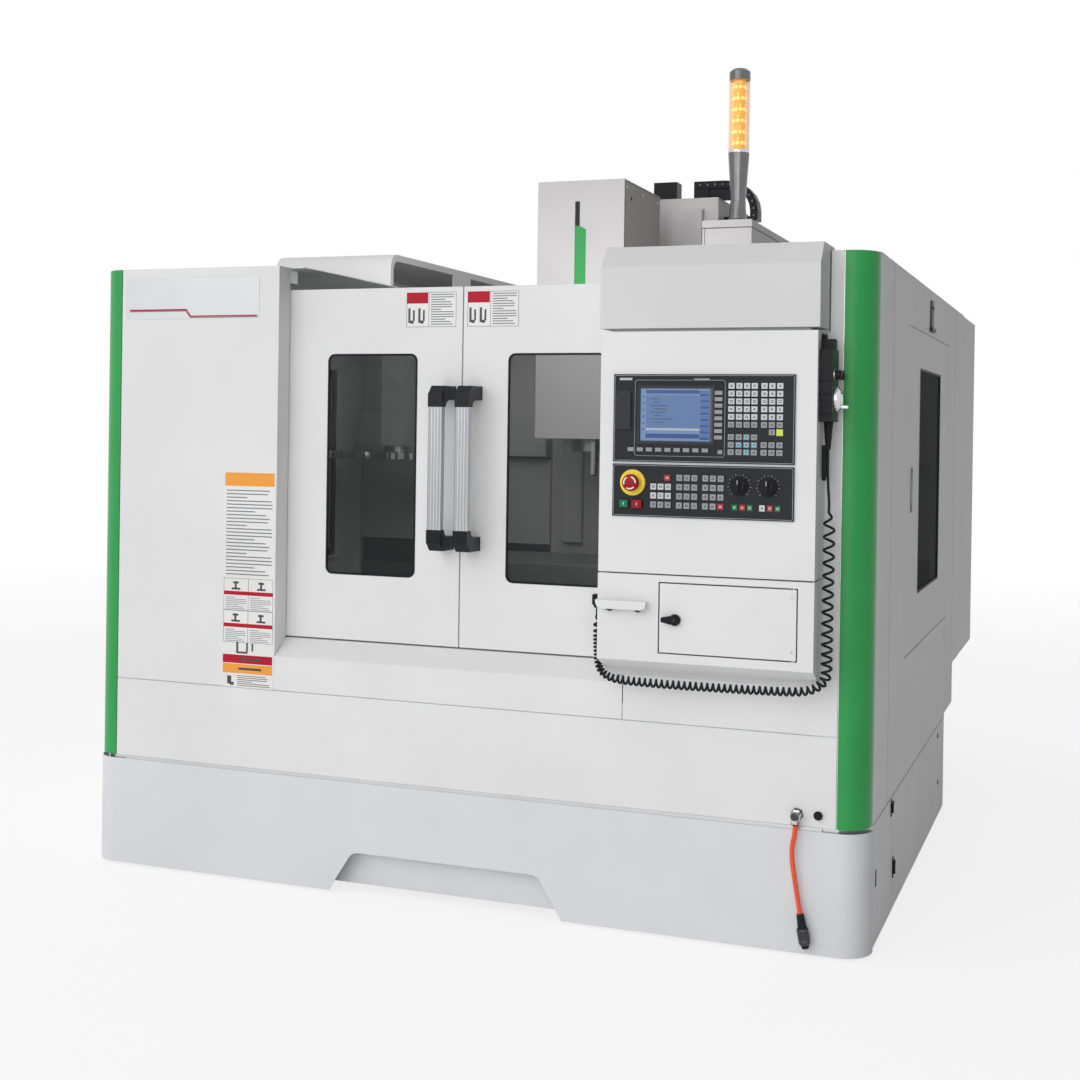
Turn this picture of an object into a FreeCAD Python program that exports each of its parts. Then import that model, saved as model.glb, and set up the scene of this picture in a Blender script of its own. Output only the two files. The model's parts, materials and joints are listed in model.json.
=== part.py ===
"""Vertical machining centre: bed, column, table, spindle head, tool magazine, sheet-metal
enclosure with sliding doors, operator pod, hand pendant on a curly cord, beacon and air hose.

Frame: millimetres, +Z up. The origin is on the floor in the middle of the machine's
footprint, X runs to the right of someone who faces the doors, and Y runs away from them.
Depths given with back() are measured from the enclosure's front face.
"""
import FreeCAD, Part
import math
import os
import Sketcher
from FreeCAD import Rotation, Vector

# ---------------------------------------------------------------- driving dimensions

SIZES = {
    # enclosure
    "shell_width": 2080,
    "shell_height": 1600,
    "front_plane": -1150,
    "sheet_metal": 3,
    "floor_gap": 5,
    "base_height": 285,
    "base_seam": 8,
    "base_proud": 4,
    "sill_height": 500,
    "panel_seam": 2,
    "corner_size": 70,
    "corner_radius": 66,
    "post_lap": 30,
    "post_thick": 5,
    "base_depth": 1570,
    "wall_depth": 1800,
    "wall_step": 300,
    "roof_lip": 30,
    "cabinet_setback": 40,
    "cabinet_depth": 450,
    "cabinet_floor": 430,
    "cabinet_door": 22,
    "notch_width": 632,
    "notch_top_width": 500,
    "notch_height": 107,
    "notch_radius": 30,
    "notch_depth": 40,
    # front doors
    "left_panel_width": 555,
    "right_panel_lap": 30,
    "door_split": 8,
    "door_lap": 21,
    "door_front": 60,
    "door_thick": 30,
    "door_bottom": 636,
    "door_head": 58,
    "door_gap": 3,
    "window_inset": 125,
    "window_side": 127,
    "window_rail": 169,
    "window_radius": 18,
    "glass_thick": 6,
    "glass_overlap": 15,
    "handle_inset": 36,
    "handle_width": 38,
    "handle_bottom": 881,
    "handle_length": 410,
    "handle_reach": 85,
    "elbow_length": 53,
    "hanger_near": 60,
    "hanger_far": 106,
    "hanger_width": 50,
    "rail_drop": 52,
    "rail_height": 40,
    "rail_depth": 24,
    "slide_gap": 0.3,
    "pin_gap": 0.05,
    # side doors
    "side_door_front": 568,
    "side_door_back": 1552,
    "side_door_bottom": 610,
    "side_door_head": 131,
    "side_door_thick": 25,
    "side_window_front": 821,
    "side_window_back": 1317,
    "side_window_foot": 143,
    "side_window_head": 101,
    "hinge_inset": 10,
    "hinge_setback": 9,
    "hinge_pin": 4,
    # operator pod
    "pod_inset": 609,
    "pod_width": 501,
    "pod_reach": 110,
    "pod_box_height": 552,
    "hood_height": 199,
    "pod_seam": 3,
    "hood_gap": 7,
    "hood_rise": 12,
    "hood_chamfer_height": 50,
    "hood_chamfer_depth": 40,
    "hood_back": 57,
    "hood_flare": 4,
    "pod_front_height": 201,
    "pod_back_height": 253,
    "grab_drop": 72,
    "socket_drop": 82,
    "panel_inset": 33.6,
    "panel_drop": 97.7,
    "panel_width": 420,
    "operator_panel_height": 200,
    "machine_panel_height": 120,
    "panel_spacing": 5,
    "panel_thick": 4,
    "key_height": 2,
    "service_inset": 149,
    "service_width": 313,
    "service_drop": 21,
    "service_height": 157,
    "service_thick": 15,
    "service_hinge_inset": 7,
    "service_pin": 3,
    "latch_radius": 18,
    # drives and castings
    "spindle_depth": 1090,
    "bed_front": 420,
    "bed_bottom": 62,
    "bed_top": 520,
    "bed_width": 600,
    "way_height": 25,
    "way_width": 70,
    "way_offset": 205,
    "column_setback": 430,
    "column_depth": 440,
    "column_width": 580,
    "column_top": 1970,
    "column_way_bottom": 800,
    "saddle_length": 400,
    "saddle_width": 680,
    "saddle_top": 640,
    "table_length": 800,
    "table_width": 420,
    "table_top": 780,
    "slot_pitch": 80,
    "slot_width": 18,
    "head_reach": 130,
    "head_width": 280,
    "head_bottom": 1159,
    "head_top": 1950,
    "head_cover_length": 380,
    "nose_bottom": 1120,
    "nose_radius": 60,
    "bore_gap": 0.05,
    "nozzle_bottom": 1050,
    "cross_way_offset": 140,
    "cross_way_width": 60,
    "band_bottom": 1087,
    "band_height": 150,
    "band_depth": 50,
    # tool magazine
    "magazine_inset": 365,
    "arm_drop": 130,
    "arm_height": 80,
    "magazine_reach": 228,
    "tool_circle": 200,
    "pocket_radius": 26,
    "disc_bottom": 1085,
    "disc_thick": 22,
    "magazine_cover_inset": 170,
    "magazine_cover_width": 390,
    "magazine_cover_front": 633,
    "magazine_cover_back": 1754,
    "magazine_cover_rise": 104,
    "magazine_post_front": 455,
    "magazine_post_width": 143,
    # duct and beacon
    "duct_inset": 614,
    "duct_width": 144,
    "duct_front": 800,
    "duct_rise": 190,
    "beacon_radius": 30,
    "carrier_depth": 1600,
    "beacon_inset": 95,
    "beacon_depth": 835,
    "beacon_foot_height": 53,
    "beacon_taper_height": 149,
    "beacon_lens_height": 200,
    "beacon_cap_height": 32,
    # pendant and cords
    "pendant_thick": 28,
    "pendant_width": 76,
    "pendant_drop": 201,
    "pendant_height": 160,
    "pendant_depth": -58,
    "wheel_radius": 27,
    "wheel_rise": 50,
    "cord_wire": 3,
    "air_inset": 160,
    "air_height": 320,
    "hose_radius": 5.5,
}

# Counts, step sizes and tables of places. Panel places are (right, down) from the panels' corner.
COVER_LENGTH = 250
COVER_STEP = 7
LOUVRES = 8
STOP_PLACE = (48.7, 247.5)
START_PLACE = (28.6, 295.9, 20, 17)
HALT_PLACE = (60.0, 295.9, 23, 19)
KNOB_PLACES = ((297, 249), (362, 250))
BED_CELLS = 2
SLOTS = 5
SPINDLE_LENGTH = 270
FINGERS = 12
LINK_TALL = 26
LINK_WIDE = 60
BEACON_SIDES = 24
PLAIN_TOP_DROP = 60
DENSE_RADIUS = 9.5
TUBE_SIDES = 6
CORD_OUT = 18
HOSE_ROUTE = (0, -18), (0, -42), (-7, -70), (-6, -104), (1, -146), (8, -186), (14, -220)
ELBOW_OUT = 20
OPEN_CURLS = 15
COIL_PITCH = ((0.0, 31), (0.6, 27), (1.0, 20))
COIL_RADIUS = ((0.0, 11.5), (1.0, 11.0))
PLAIN_LENGTH = 130
LEAD = 20
FINE_STEPS = 16
CHAIN_ROUTE = (
    (-107, 55), (-81, 55), (-55, 55), (-29, 55), (-3, 55), (23, 53), (48, 45),
    (70, 31), (87, 12), (97, -10), (101, -34), (101, -58),
)


class Size:
    """A length that knows its number and the spreadsheet expression that gives it."""

    def __init__(self, value, text):
        self.value = value
        self.text = text

    def __add__(self, other):
        return Size(self.value + number(other), f"({self.text} + {text(other)})")

    def __radd__(self, other):
        return Size(number(other) + self.value, f"({text(other)} + {self.text})")

    def __sub__(self, other):
        return Size(self.value - number(other), f"({self.text} - {text(other)})")

    def __rsub__(self, other):
        return Size(number(other) - self.value, f"({text(other)} - {self.text})")

    def __mul__(self, other):
        return Size(self.value * number(other), f"({self.text} * {text(other)})")

    def __rmul__(self, other):
        return Size(number(other) * self.value, f"({text(other)} * {self.text})")

    def __truediv__(self, other):
        return Size(self.value / number(other), f"({self.text} / {text(other)})")

    def __neg__(self):
        return Size(-self.value, f"(0 - {self.text})")


def number(value):
    return value.value if isinstance(value, Size) else float(value)


def text(value):
    return value.text if isinstance(value, Size) else f"({float(value)})"


doc = FreeCAD.newDocument("machining_centre")
sheet = doc.addObject("Spreadsheet::Sheet", "dims")
for row, (alias, value) in enumerate(SIZES.items(), start=1):
    sheet.set(f"A{row}", alias)
    sheet.set(f"B{row}", str(value))
    sheet.setAlias(f"B{row}", alias)
doc.recompute()

dim = type("Dimensions", (), {name: Size(float(value), f"dims.{name}") for name, value in SIZES.items()})

half = dim.shell_width / 2
skin = dim.sheet_metal
seam = dim.panel_seam
NODES = {}

# Places that keep their distance from the shell, the doors, the pod or the spindle.
dim.opening_left = half - dim.left_panel_width
dim.door_width = dim.opening_left + dim.door_lap
dim.window_width = dim.door_width - dim.window_inset - dim.window_side
dim.door_top = dim.shell_height - dim.door_head
dim.rail_bottom = dim.door_top - dim.rail_drop
dim.window_bottom = dim.door_bottom + dim.window_rail
dim.window_height = dim.door_top - dim.window_rail - dim.window_bottom
dim.side_door_top = dim.shell_height - dim.side_door_head
dim.side_window_bottom = dim.side_door_bottom + dim.side_window_foot
dim.side_window_top = dim.side_door_top - dim.side_window_head
dim.pod_left = half - dim.pod_inset
dim.right_panel_edge = dim.pod_left + dim.right_panel_lap
dim.hood_top = dim.shell_height + dim.hood_rise
dim.pod_box_top = dim.hood_top - dim.hood_height
dim.pod_seam_height = dim.pod_box_top - dim.pod_box_height
dim.pod_front_bottom = dim.pod_seam_height - dim.pod_front_height
dim.pod_back_bottom = dim.pod_seam_height - dim.pod_back_height
dim.grab_height = dim.pod_seam_height - dim.grab_drop
dim.socket_height = dim.pod_seam_height - dim.socket_drop
dim.service_top = dim.pod_seam_height - dim.service_drop
dim.service_bottom = dim.service_top - dim.service_height
dim.panel_left = dim.pod_left + dim.panel_inset
dim.panel_top = dim.pod_box_top - dim.panel_drop
dim.pendant_bottom = dim.pod_box_top - dim.pendant_drop
dim.service_left = dim.pod_left + dim.service_inset
dim.column_front = dim.spindle_depth + dim.column_setback
dim.cabinet_front = dim.column_front + dim.column_depth + dim.cabinet_setback
dim.cabinet_back = dim.cabinet_front + dim.cabinet_depth
dim.head_front = dim.spindle_depth - dim.head_reach
dim.head_cover_back = dim.head_front + dim.head_cover_length
dim.magazine_park = dim.magazine_inset - half
dim.magazine_cover_left = dim.magazine_cover_inset - half
dim.magazine_cover_right = dim.magazine_cover_left + dim.magazine_cover_width
dim.magazine_cover_top = dim.shell_height + dim.magazine_cover_rise
dim.arm_bottom = dim.shell_height - dim.arm_drop
dim.duct_left = half - dim.duct_inset
dim.duct_top = dim.shell_height + dim.duct_rise
dim.beacon_x = dim.duct_left + dim.beacon_inset
dim.wheel_height = dim.pendant_bottom + dim.wheel_rise
dim.air_x = half - dim.air_inset
pod_right = dim.pod_left + dim.pod_width


def back(depth):
    """The Y of something that lies this far behind the enclosure's front face."""
    return dim.front_plane + depth


# ---------------------------------------------------------------- modelling helpers

def bind(thing, prop, value):
    """Sets a property from a plain number or ties it to the spreadsheet."""
    thing.setExpression(prop, text(value))


def node(name, thing):
    """Names a finished sub-part; its label is also its file's name."""
    thing.Label = name
    NODES[name] = thing
    return thing


def place(thing, position):
    for axis, value in zip("xyz", position):
        bind(thing, f"Placement.Base.{axis}", value)


def box(name, across, along, up):
    """A block between two X, two Y and two Z values."""
    block = doc.addObject("Part::Box", name)
    for prop, (low, high) in zip(("Length", "Width", "Height"), (across, along, up)):
        bind(block, prop, high - low)
    place(block, (across[0], along[0], up[0]))
    return block


TURN_TO = {
    "x": Rotation(Vector(0, 1, 0), 90),
    "y": Rotation(Vector(1, 0, 0), -90),
    "z": Rotation(),
}


def rod(name, axis, centre, radius, length):
    """A cylinder that starts at centre and runs along +axis."""
    cylinder = doc.addObject("Part::Cylinder", name)
    cylinder.Placement = FreeCAD.Placement(Vector(), TURN_TO[axis])
    bind(cylinder, "Radius", radius)
    bind(cylinder, "Height", length)
    place(cylinder, centre)
    return cylinder


def prism(name, axis, centre, sides, radius, length):
    """A many-sided bar that starts at centre and runs along +axis."""
    bar = doc.addObject("Part::Prism", name)
    bar.Polygon = sides
    bar.Placement = FreeCAD.Placement(Vector(), TURN_TO[axis])
    bind(bar, "Circumradius", radius)
    bind(bar, "Height", length)
    place(bar, centre)
    return bar


def fuse(name, *pieces):
    joined = doc.addObject("Part::MultiFuse", name)
    joined.Shapes = list(pieces)
    joined.Refine = True
    return joined


def cut(name, base, *tools):
    result = doc.addObject("Part::Cut", name)
    result.Base = base
    result.Tool = tools[0] if len(tools) == 1 else fuse(name + "_tools", *tools)
    result.Refine = True
    return result


def group(name, *pieces):
    """Separate solids that share one node."""
    together = doc.addObject("Part::Compound", name)
    together.Links = list(pieces)
    return together


ORIGIN_PLANES = {"XY": "XY_Plane", "XZ": "XZ_Plane", "YZ": "YZ_Plane"}
NORMAL_SIGN = {"XY": 1, "XZ": -1, "YZ": 1}


def draw_outline(sketch, corners):
    """Adds a closed outline; a corner with a third value is rounded to that radius."""
    count = len(corners)
    ends = [corner_ends(corners[i - 1], corners[i], corners[(i + 1) % count]) for i in range(count)]
    lines = []
    for i in range(count):
        start, stop = point(ends[i][1]), point(ends[(i + 1) % count][0])
        lines.append(sketch.addGeometry(Part.LineSegment(start, stop), False))
    for i, corner in enumerate(corners):
        into, out = lines[i - 1], lines[i]
        fix_point(sketch, out, 1, ends[i][1])
        if len(corner) < 3:
            sketch.addConstraint(Sketcher.Constraint("Coincident", into, 2, out, 1))
        else:
            fix_point(sketch, into, 2, ends[i][0])
            round_corner(sketch, into, out, ends[i], corner)


def point(place):
    return Vector(number(place[0]), number(place[1]))


def corner_ends(before, corner, after):
    """Where the straight lines on both sides of a corner end."""
    if len(corner) < 3:
        return corner, corner
    sharp = point(corner)
    first = (point(before) - sharp).normalize()
    second = (point(after) - sharp).normalize()
    trim = corner[2] * (1 / math.tan(first.getAngle(second) / 2))
    return shifted(corner, first, trim), shifted(corner, second, trim)


def shifted(corner, direction, distance):
    ends = []
    for value, part in zip(corner, (direction.x, direction.y)):
        ends.append(value if abs(part) < 1e-9 else value + distance * part)
    return ends


def fix_point(sketch, geometry, end, place):
    for kind, value in zip(("DistanceX", "DistanceY"), place):
        row = sketch.addConstraint(Sketcher.Constraint(kind, -1, 1, geometry, end, number(value)))
        sketch.setExpression(f"Constraints[{row}]", text(value))


def round_corner(sketch, into, out, ends, corner):
    """Joins the ends of two lines with an arc that touches both."""
    start, stop, sharp = point(ends[0]), point(ends[1]), point(corner)
    radius = number(corner[2])
    towards = ((start + stop) * 0.5 - sharp).normalize()
    centre = sharp + towards * math.hypot(radius, (start - sharp).Length)
    arc = sketch.addGeometry(Part.Arc(start, centre - towards * radius, stop), False)
    starts_first = sketch.getPoint(arc, 1).distanceToPoint(start) < 1e-6
    first, last = (1, 2) if starts_first else (2, 1)
    sketch.addConstraint(Sketcher.Constraint("Coincident", into, 2, arc, first))
    sketch.addConstraint(Sketcher.Constraint("Coincident", out, 1, arc, last))
    row = sketch.addConstraint(Sketcher.Constraint("Radius", arc, radius))
    sketch.setExpression(f"Constraints[{row}]", text(corner[2]))


def new_sketch(body, plane, level, outlines):
    sketch = body.newObject("Sketcher::SketchObject", body.Name + "_sketch")
    role = ORIGIN_PLANES[plane]
    sketch.AttachmentSupport = [(f, "") for f in body.Origin.OriginFeatures if f.Role == role]
    sketch.MapMode = "FlatFace"
    bind(sketch, "AttachmentOffset.Base.z", level if NORMAL_SIGN[plane] > 0 else -level)
    for corners in outlines:
        draw_outline(sketch, corners)
    return sketch


def new_body(name):
    return doc.addObject("PartDesign::Body", name)


def pad(body, plane, outline, low, high, holes=()):
    """Pads an outline, drawn in X-Y, X-Z or Y-Z, from low to high along the third axis."""
    level = low if NORMAL_SIGN[plane] > 0 else high
    sketch = new_sketch(body, plane, level, [outline, *holes])
    feature = body.newObject("PartDesign::Pad", body.Name + "_pad")
    feature.Profile = sketch
    bind(feature, "Length", high - low)
    return feature


def pocket(body, plane, outline, low, high, holes=()):
    """Cuts an outline out of a body from low to high."""
    level = high if NORMAL_SIGN[plane] > 0 else low
    sketch = new_sketch(body, plane, level, [outline, *holes])
    feature = body.newObject("PartDesign::Pocket", body.Name + "_pocket")
    feature.Profile = sketch
    bind(feature, "Length", high - low)
    return feature


def solid(name, plane, outline, low, high, holes=()):
    body = new_body(name)
    pad(body, plane, outline, low, high, holes)
    return body


def rectangle(left, bottom, right, top, radius=None):
    ends = [(left, bottom), (right, bottom), (right, top), (left, top)]
    return ends if radius is None else [(x, y, radius) for x, y in ends]


def faceted(name, start, along, sides, rings):
    """A many-sided tapered bar with flat faces; rings are (radius, distance along the axis)."""
    across = Vector(0, 1, 0) if abs(along.y) < 0.5 else Vector(1, 0, 0)
    side = along.cross(across).normalize()
    across = side.cross(along)
    turns = [2 * math.pi * i / sides for i in range(sides)]
    spokes = [side * math.cos(turn) + across * math.sin(turn) for turn in turns]
    loops = [[start + along * number(distance) + spoke * number(radius) for spoke in spokes]
             for radius, distance in rings]
    faces = [Part.Face(Part.makePolygon(loop + loop[:1])) for loop in (loops[0], loops[-1])]
    for low, high in zip(loops, loops[1:]):
        for i in range(sides):
            j = (i + 1) % sides
            faces.append(Part.Face(Part.makePolygon([low[i], low[j], high[j], high[i], low[i]])))
    bar = doc.addObject("Part::Feature", name)
    bar.Shape = Part.makeSolid(Part.makeShell(faces))
    return bar


def lathe(name, axis_place, profile):
    """Turns a profile of (radius, height) points about an upright axis at the origin."""
    body = new_body(name)
    sketch = new_sketch(body, "XZ", 0, [profile])
    feature = body.newObject("PartDesign::Revolution", name + "_turn")
    feature.Profile = sketch
    feature.ReferenceAxis = (sketch, ["V_Axis"])
    feature.Angle = 360
    place(body, axis_place)
    return body


def mirrored_ends(first, second, side):
    """Orders two X values of a piece that has a twin on the other side."""
    return (first, second) if side > 0 else (-second, -first)


# ---------------------------------------------------------------- base and enclosure

def base_front_panel():
    """Folded skirt with rounded corners and a fork notch with a set-back plate in it."""
    body = new_body("base_front_panel")
    edge = half + dim.base_proud
    face = back(-dim.base_proud)
    leg = back(dim.corner_size)
    outer = dim.corner_radius + dim.base_proud
    inner = outer - skin
    outline = [
        (-edge, leg), (-edge, face, outer), (edge, face, outer), (edge, leg),
        (edge - skin, leg), (edge - skin, face + skin, inner),
        (-edge + skin, face + skin, inner), (-edge + skin, leg),
    ]
    pad(body, "XY", outline, dim.floor_gap, dim.base_height)
    wide, narrow = dim.notch_width / 2, dim.notch_top_width / 2
    shelf = dim.notch_height + 18
    plate = back(dim.notch_depth)
    fold = [
        (face + 1, shelf), (plate, shelf), (plate, dim.floor_gap + 12),
        (plate + skin, dim.floor_gap + 12), (plate + skin, shelf + skin), (face + 1, shelf + skin),
    ]
    pad(body, "YZ", fold, -wide - 20, wide + 20)
    notch = [
        (-wide, dim.floor_gap - 1), (-narrow, dim.notch_height, dim.notch_radius),
        (narrow, dim.notch_height, dim.notch_radius), (wide, dim.floor_gap - 1),
    ]
    pocket(body, "XZ", notch, face - 1, face + skin + 1)
    return node("base_front_panel", body)


def corner_columns():
    """Quarter-round green corner strips with closed ends, alike on both sides."""
    body = new_body("right_corner_column")
    edge, inner = half, half - dim.corner_size
    radius = dim.corner_radius
    outline = [
        (edge, back(dim.corner_size)), (edge, back(0), radius), (inner, back(0)),
        (inner, back(skin)), (edge - skin, back(skin), radius - skin),
        (edge - skin, back(dim.corner_size)),
    ]
    lid = [
        (edge, back(dim.corner_size)), (edge, back(0), radius), (inner, back(0)),
        (inner, back(dim.corner_size)),
    ]
    bottom = dim.base_height + dim.base_seam
    pad(body, "XY", outline, bottom, dim.shell_height)
    pad(body, "XY", lid, dim.shell_height - skin, dim.shell_height)
    pad(body, "XY", lid, bottom, bottom + skin)
    node("right_corner_column", body)
    twin = doc.addObject("Part::Mirroring", "left_corner_column")
    twin.Source = body
    twin.Normal = Vector(1, 0, 0)
    return node("left_corner_column", twin)


def side_wall(name, side):
    """One side of the enclosure, stepped at the back, with the side door's opening."""
    outline = [
        (back(dim.corner_size + seam), dim.floor_gap), (back(dim.base_depth), dim.floor_gap),
        (back(dim.base_depth), dim.wall_step), (back(dim.wall_depth), dim.wall_step),
        (back(dim.wall_depth), dim.cabinet_floor), (back(dim.cabinet_front - seam), dim.cabinet_floor),
        (back(dim.cabinet_front - seam), dim.shell_height),
        (back(dim.corner_size + seam), dim.shell_height),
    ]
    gap = dim.door_gap
    opening = rectangle(back(dim.side_door_front - gap), dim.side_door_bottom - gap,
                        back(dim.side_door_back + gap), dim.side_door_top + gap)
    inside, outside = mirrored_ends(half - skin, half, side)
    plate = solid(name, "YZ", outline, inside, outside, [opening])
    pins = []
    for edge, grow in ((dim.side_door_top, 1), (dim.side_door_bottom, -1)):
        pins += hinge_pin(side * (half - dim.hinge_setback), back(dim.side_door_back - dim.hinge_inset),
                          edge, grow, dim.hinge_pin, side)
    return node(name, fuse(name + "_whole", plate, *pins))


def hinge_pin(x, y, edge, grow, radius, side):
    """A bracket behind a sheet and the pin that enters a door's edge; grow is 1 above, -1 below."""
    gap, block = dim.door_gap, 10
    low, high = sorted_ends(edge + grow * gap, edge + grow * (gap + block))
    inner, outer = sorted_ends(x - side * 14, side * (half - skin))
    bracket = box("hinge_bracket", (inner, outer), (y - 14, y + 25), (low, high))
    start, end = sorted_ends(edge - grow * (skin + 2), edge + grow * (gap + 1))
    return [bracket, rod("hinge_pin", "z", (x, y, start), radius, end - start)]


def sorted_ends(first, second):
    return (first, second) if number(first) < number(second) else (second, first)


def front_left_panel():
    """Large blank panel, folded back to the doors at its right edge."""
    left, right = -half + dim.corner_size + seam, -dim.opening_left
    fold = back(dim.door_front - dim.door_gap)
    outline = [
        (left, back(0)), (right, back(0)), (right, fold), (right - skin, fold),
        (right - skin, back(skin)), (left, back(skin)),
    ]
    body = solid("front_left_panel", "XY", outline, dim.sill_height + seam, dim.shell_height)
    return node("front_left_panel", body)


def front_right_panel():
    """Panel behind the pod; its top is cut out for the hood."""
    right = half - dim.corner_size - seam
    cutout = pod_right + dim.hood_flare + dim.door_gap
    outline = [
        (dim.right_panel_edge, dim.sill_height + seam), (right, dim.sill_height + seam),
        (right, dim.shell_height), (cutout, dim.shell_height),
        (cutout, dim.pod_box_top + 2), (dim.right_panel_edge, dim.pod_box_top + 2),
    ]
    body = solid("front_right_panel", "XZ", outline, back(0), back(skin))
    return node("front_right_panel", body)


def front_lower_panel():
    """Full-width panel between the base seam and the sill seam, with folded lips and a plug."""
    low, high, lip = dim.base_height + dim.base_seam, dim.sill_height, back(25)
    profile = [
        (back(0), low), (lip, low), (lip, low + skin), (back(skin), low + skin),
        (back(skin), high - skin), (lip, high - skin), (lip, high), (back(0), high),
    ]
    edge = half - dim.corner_size - seam
    body = new_body("front_lower_panel")
    pad(body, "XZ", rectangle(-edge, low, edge, high), back(0), back(skin))
    pad(body, "YZ", profile, -edge + dim.post_lap, edge - dim.post_lap)
    plug = rod("panel_plug", "y", (dim.air_x + 49, back(-7), dim.air_height + 2), 9, 8)
    return node("front_lower_panel", fuse("lower_panel_fuse", body, plug))


def front_sill_panel():
    """Sill below the doors: upright face, then a slope up to the doors and a lip inside."""
    low, knee = dim.sill_height + seam, dim.door_bottom - 47
    top, slope = dim.door_bottom - 4, back(dim.door_front - 3)
    lip = back(dim.door_front + dim.door_thick + 35)
    outline = [
        (back(0), low), (back(0), knee), (slope, top), (lip, top), (lip, top - 31),
        (lip - skin, top - 31), (lip - skin, top - skin), (slope + 1, top - skin),
        (back(skin), knee - 2), (back(skin), low),
    ]
    body = solid("front_sill_panel", "YZ", outline, -dim.opening_left, dim.right_panel_edge - seam)
    return node("front_sill_panel", body)


def roof_panels():
    """Two roof plates beside the open middle; the left one is cut away under the magazine cover."""
    top = dim.shell_height
    front, rear = back(dim.corner_size + seam), back(dim.cabinet_front + 20)
    rim = skin + 1
    inner = -dim.opening_left + dim.roof_lip
    hole_left = dim.magazine_cover_left + rim
    hole_front, hole_rear = back(dim.magazine_cover_front + rim), back(dim.magazine_cover_back - rim)
    left = solid("roof_left", "XY", [
        (-half, front), (inner, front), (inner, hole_front), (hole_left, hole_front),
        (hole_left, hole_rear), (inner, hole_rear), (inner, rear), (-half, rear),
    ], top, top + skin)
    right = solid("roof_right", "XY", rectangle(dim.opening_left + dim.roof_lip, front, half, rear),
                  top, top + skin)
    return node("roof_panels", group("roof_group", left, right))


def enclosure_frame():
    """Frame that carries the panels: corner posts, rails, the doors' rail and ties to the castings."""
    edge = half - dim.corner_size
    lap, thick = dim.post_lap + seam, dim.post_thick
    wall = half - skin
    pieces = []
    for side in (-1, 1):
        outline = [
            (side * (edge - lap), back(skin)), (side * (edge + 4), back(skin)),
            (side * wall, back(dim.corner_radius)), (side * wall, back(110)),
            (side * (wall - thick), back(110)), (side * (wall - thick), back(dim.corner_radius + 2)),
            (side * (edge + 2), back(skin) + thick), (side * (edge - lap), back(skin) + thick),
        ]
        joint = dim.base_height + dim.base_seam
        for low, high in ((dim.floor_gap + 5, joint), (joint + skin, dim.shell_height - skin)):
            pieces.append(solid("corner_post", "XY", outline, low, high))
    inner = edge - lap
    base_top = dim.base_height + dim.base_seam
    skirt = back(skin - dim.base_proud)
    pieces.append(box("base_rail", (-inner, inner), (skirt, back(22)), (base_top - 53, base_top)))
    sill = dim.sill_height
    fold = -dim.opening_left
    for across in ((-inner, fold - skin), (fold, inner)):
        pieces.append(box("sill_rail", across, (back(skin), back(25)), (sill, sill + 40)))
    roof = dim.shell_height
    roof_bars = (
        ((-inner, fold - skin), back(skin)),
        ((pod_right + dim.hood_flare + dim.door_gap, edge - seam), back(skin) + thick),
    )
    for across, front in roof_bars:
        pieces.append(box("roof_rail", across, (front, back(100)), (roof - 40, roof)))
    rail_front = back(dim.door_front + dim.door_thick + 6)
    pieces.append(box("door_rail", (-wall + thick, wall - thick), (rail_front, rail_front + dim.rail_depth),
                      (dim.rail_bottom, dim.rail_bottom + dim.rail_height)))
    for side in (-1, 1):
        for depth in (dim.bed_front + 80, dim.column_front - 120):
            across = mirrored_ends(dim.bed_width / 2, wall, side)
            low = dim.bed_bottom + 38
            pieces.append(box("bed_tie", across, (back(depth), back(depth + 40)), (low, low + 40)))
        across = mirrored_ends(150, 200, side)
        pieces.append(box("cabinet_tie", across,
                          (back(dim.column_front + dim.column_depth), back(dim.cabinet_front)),
                          (dim.column_way_bottom + 100, dim.column_way_bottom + 260)))
    return node("enclosure_frame", group("frame_group", *pieces))


def magazine_cover():
    """Bent sheet hood over the magazine drive; its right side has two rounded openings."""
    body = new_body("magazine_cover")
    low, top = dim.shell_height + skin, dim.magazine_cover_top
    front, rear = back(dim.magazine_cover_front), back(dim.magazine_cover_back)
    left, right = dim.magazine_cover_left, dim.magazine_cover_right
    bend = 45
    ring = [
        (front, low), (front, top, bend), (rear, top, bend), (rear, low), (rear - skin, low),
        (rear - skin, top - skin, bend - skin), (front + skin, top - skin, bend - skin),
        (front + skin, low),
    ]
    cheek = [(front, low), (front, top, bend), (rear, top, bend), (rear, low)]
    rim, post = 20, front + dim.magazine_post_front
    first = [
        (front + rim, low - 1), (front + rim, top - rim, bend - 15),
        (post, top - rim), (post, low - 1),
    ]
    second = [
        (post + dim.magazine_post_width, low - 1), (post + dim.magazine_post_width, top - rim),
        (rear - rim, top - rim, bend - 15), (rear - rim, low - 1),
    ]
    pad(body, "YZ", ring, left, right)
    pad(body, "YZ", cheek, left, left + skin)
    pad(body, "YZ", cheek, right - skin, right)
    for opening in (first, second):
        pocket(body, "YZ", opening, right - skin - 1, right + 1)
    return node("magazine_cover", body)


def splash_walls():
    """Folded rear walls of the work chamber on both sides of the column."""
    face = back(dim.column_front - 8)
    ledge = face - dim.band_depth
    low, bottom, top = dim.sill_height + 60, dim.band_bottom, dim.band_bottom + dim.band_height
    outline = [
        (face, low), (face, bottom), (ledge, bottom), (ledge, top), (face, top),
        (face, dim.shell_height), (face + skin, dim.shell_height), (face + skin, top - skin),
        (ledge + skin, top - skin), (ledge + skin, bottom + skin),
        (face + skin, bottom + skin), (face + skin, low),
    ]
    column_side = dim.column_width / 2
    walls = []
    for side in (-1, 1):
        start, end = mirrored_ends(column_side, half - dim.side_door_thick - 2, side)
        walls.append(solid("splash_wall", "YZ", outline, start, end))
    return walls


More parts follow.
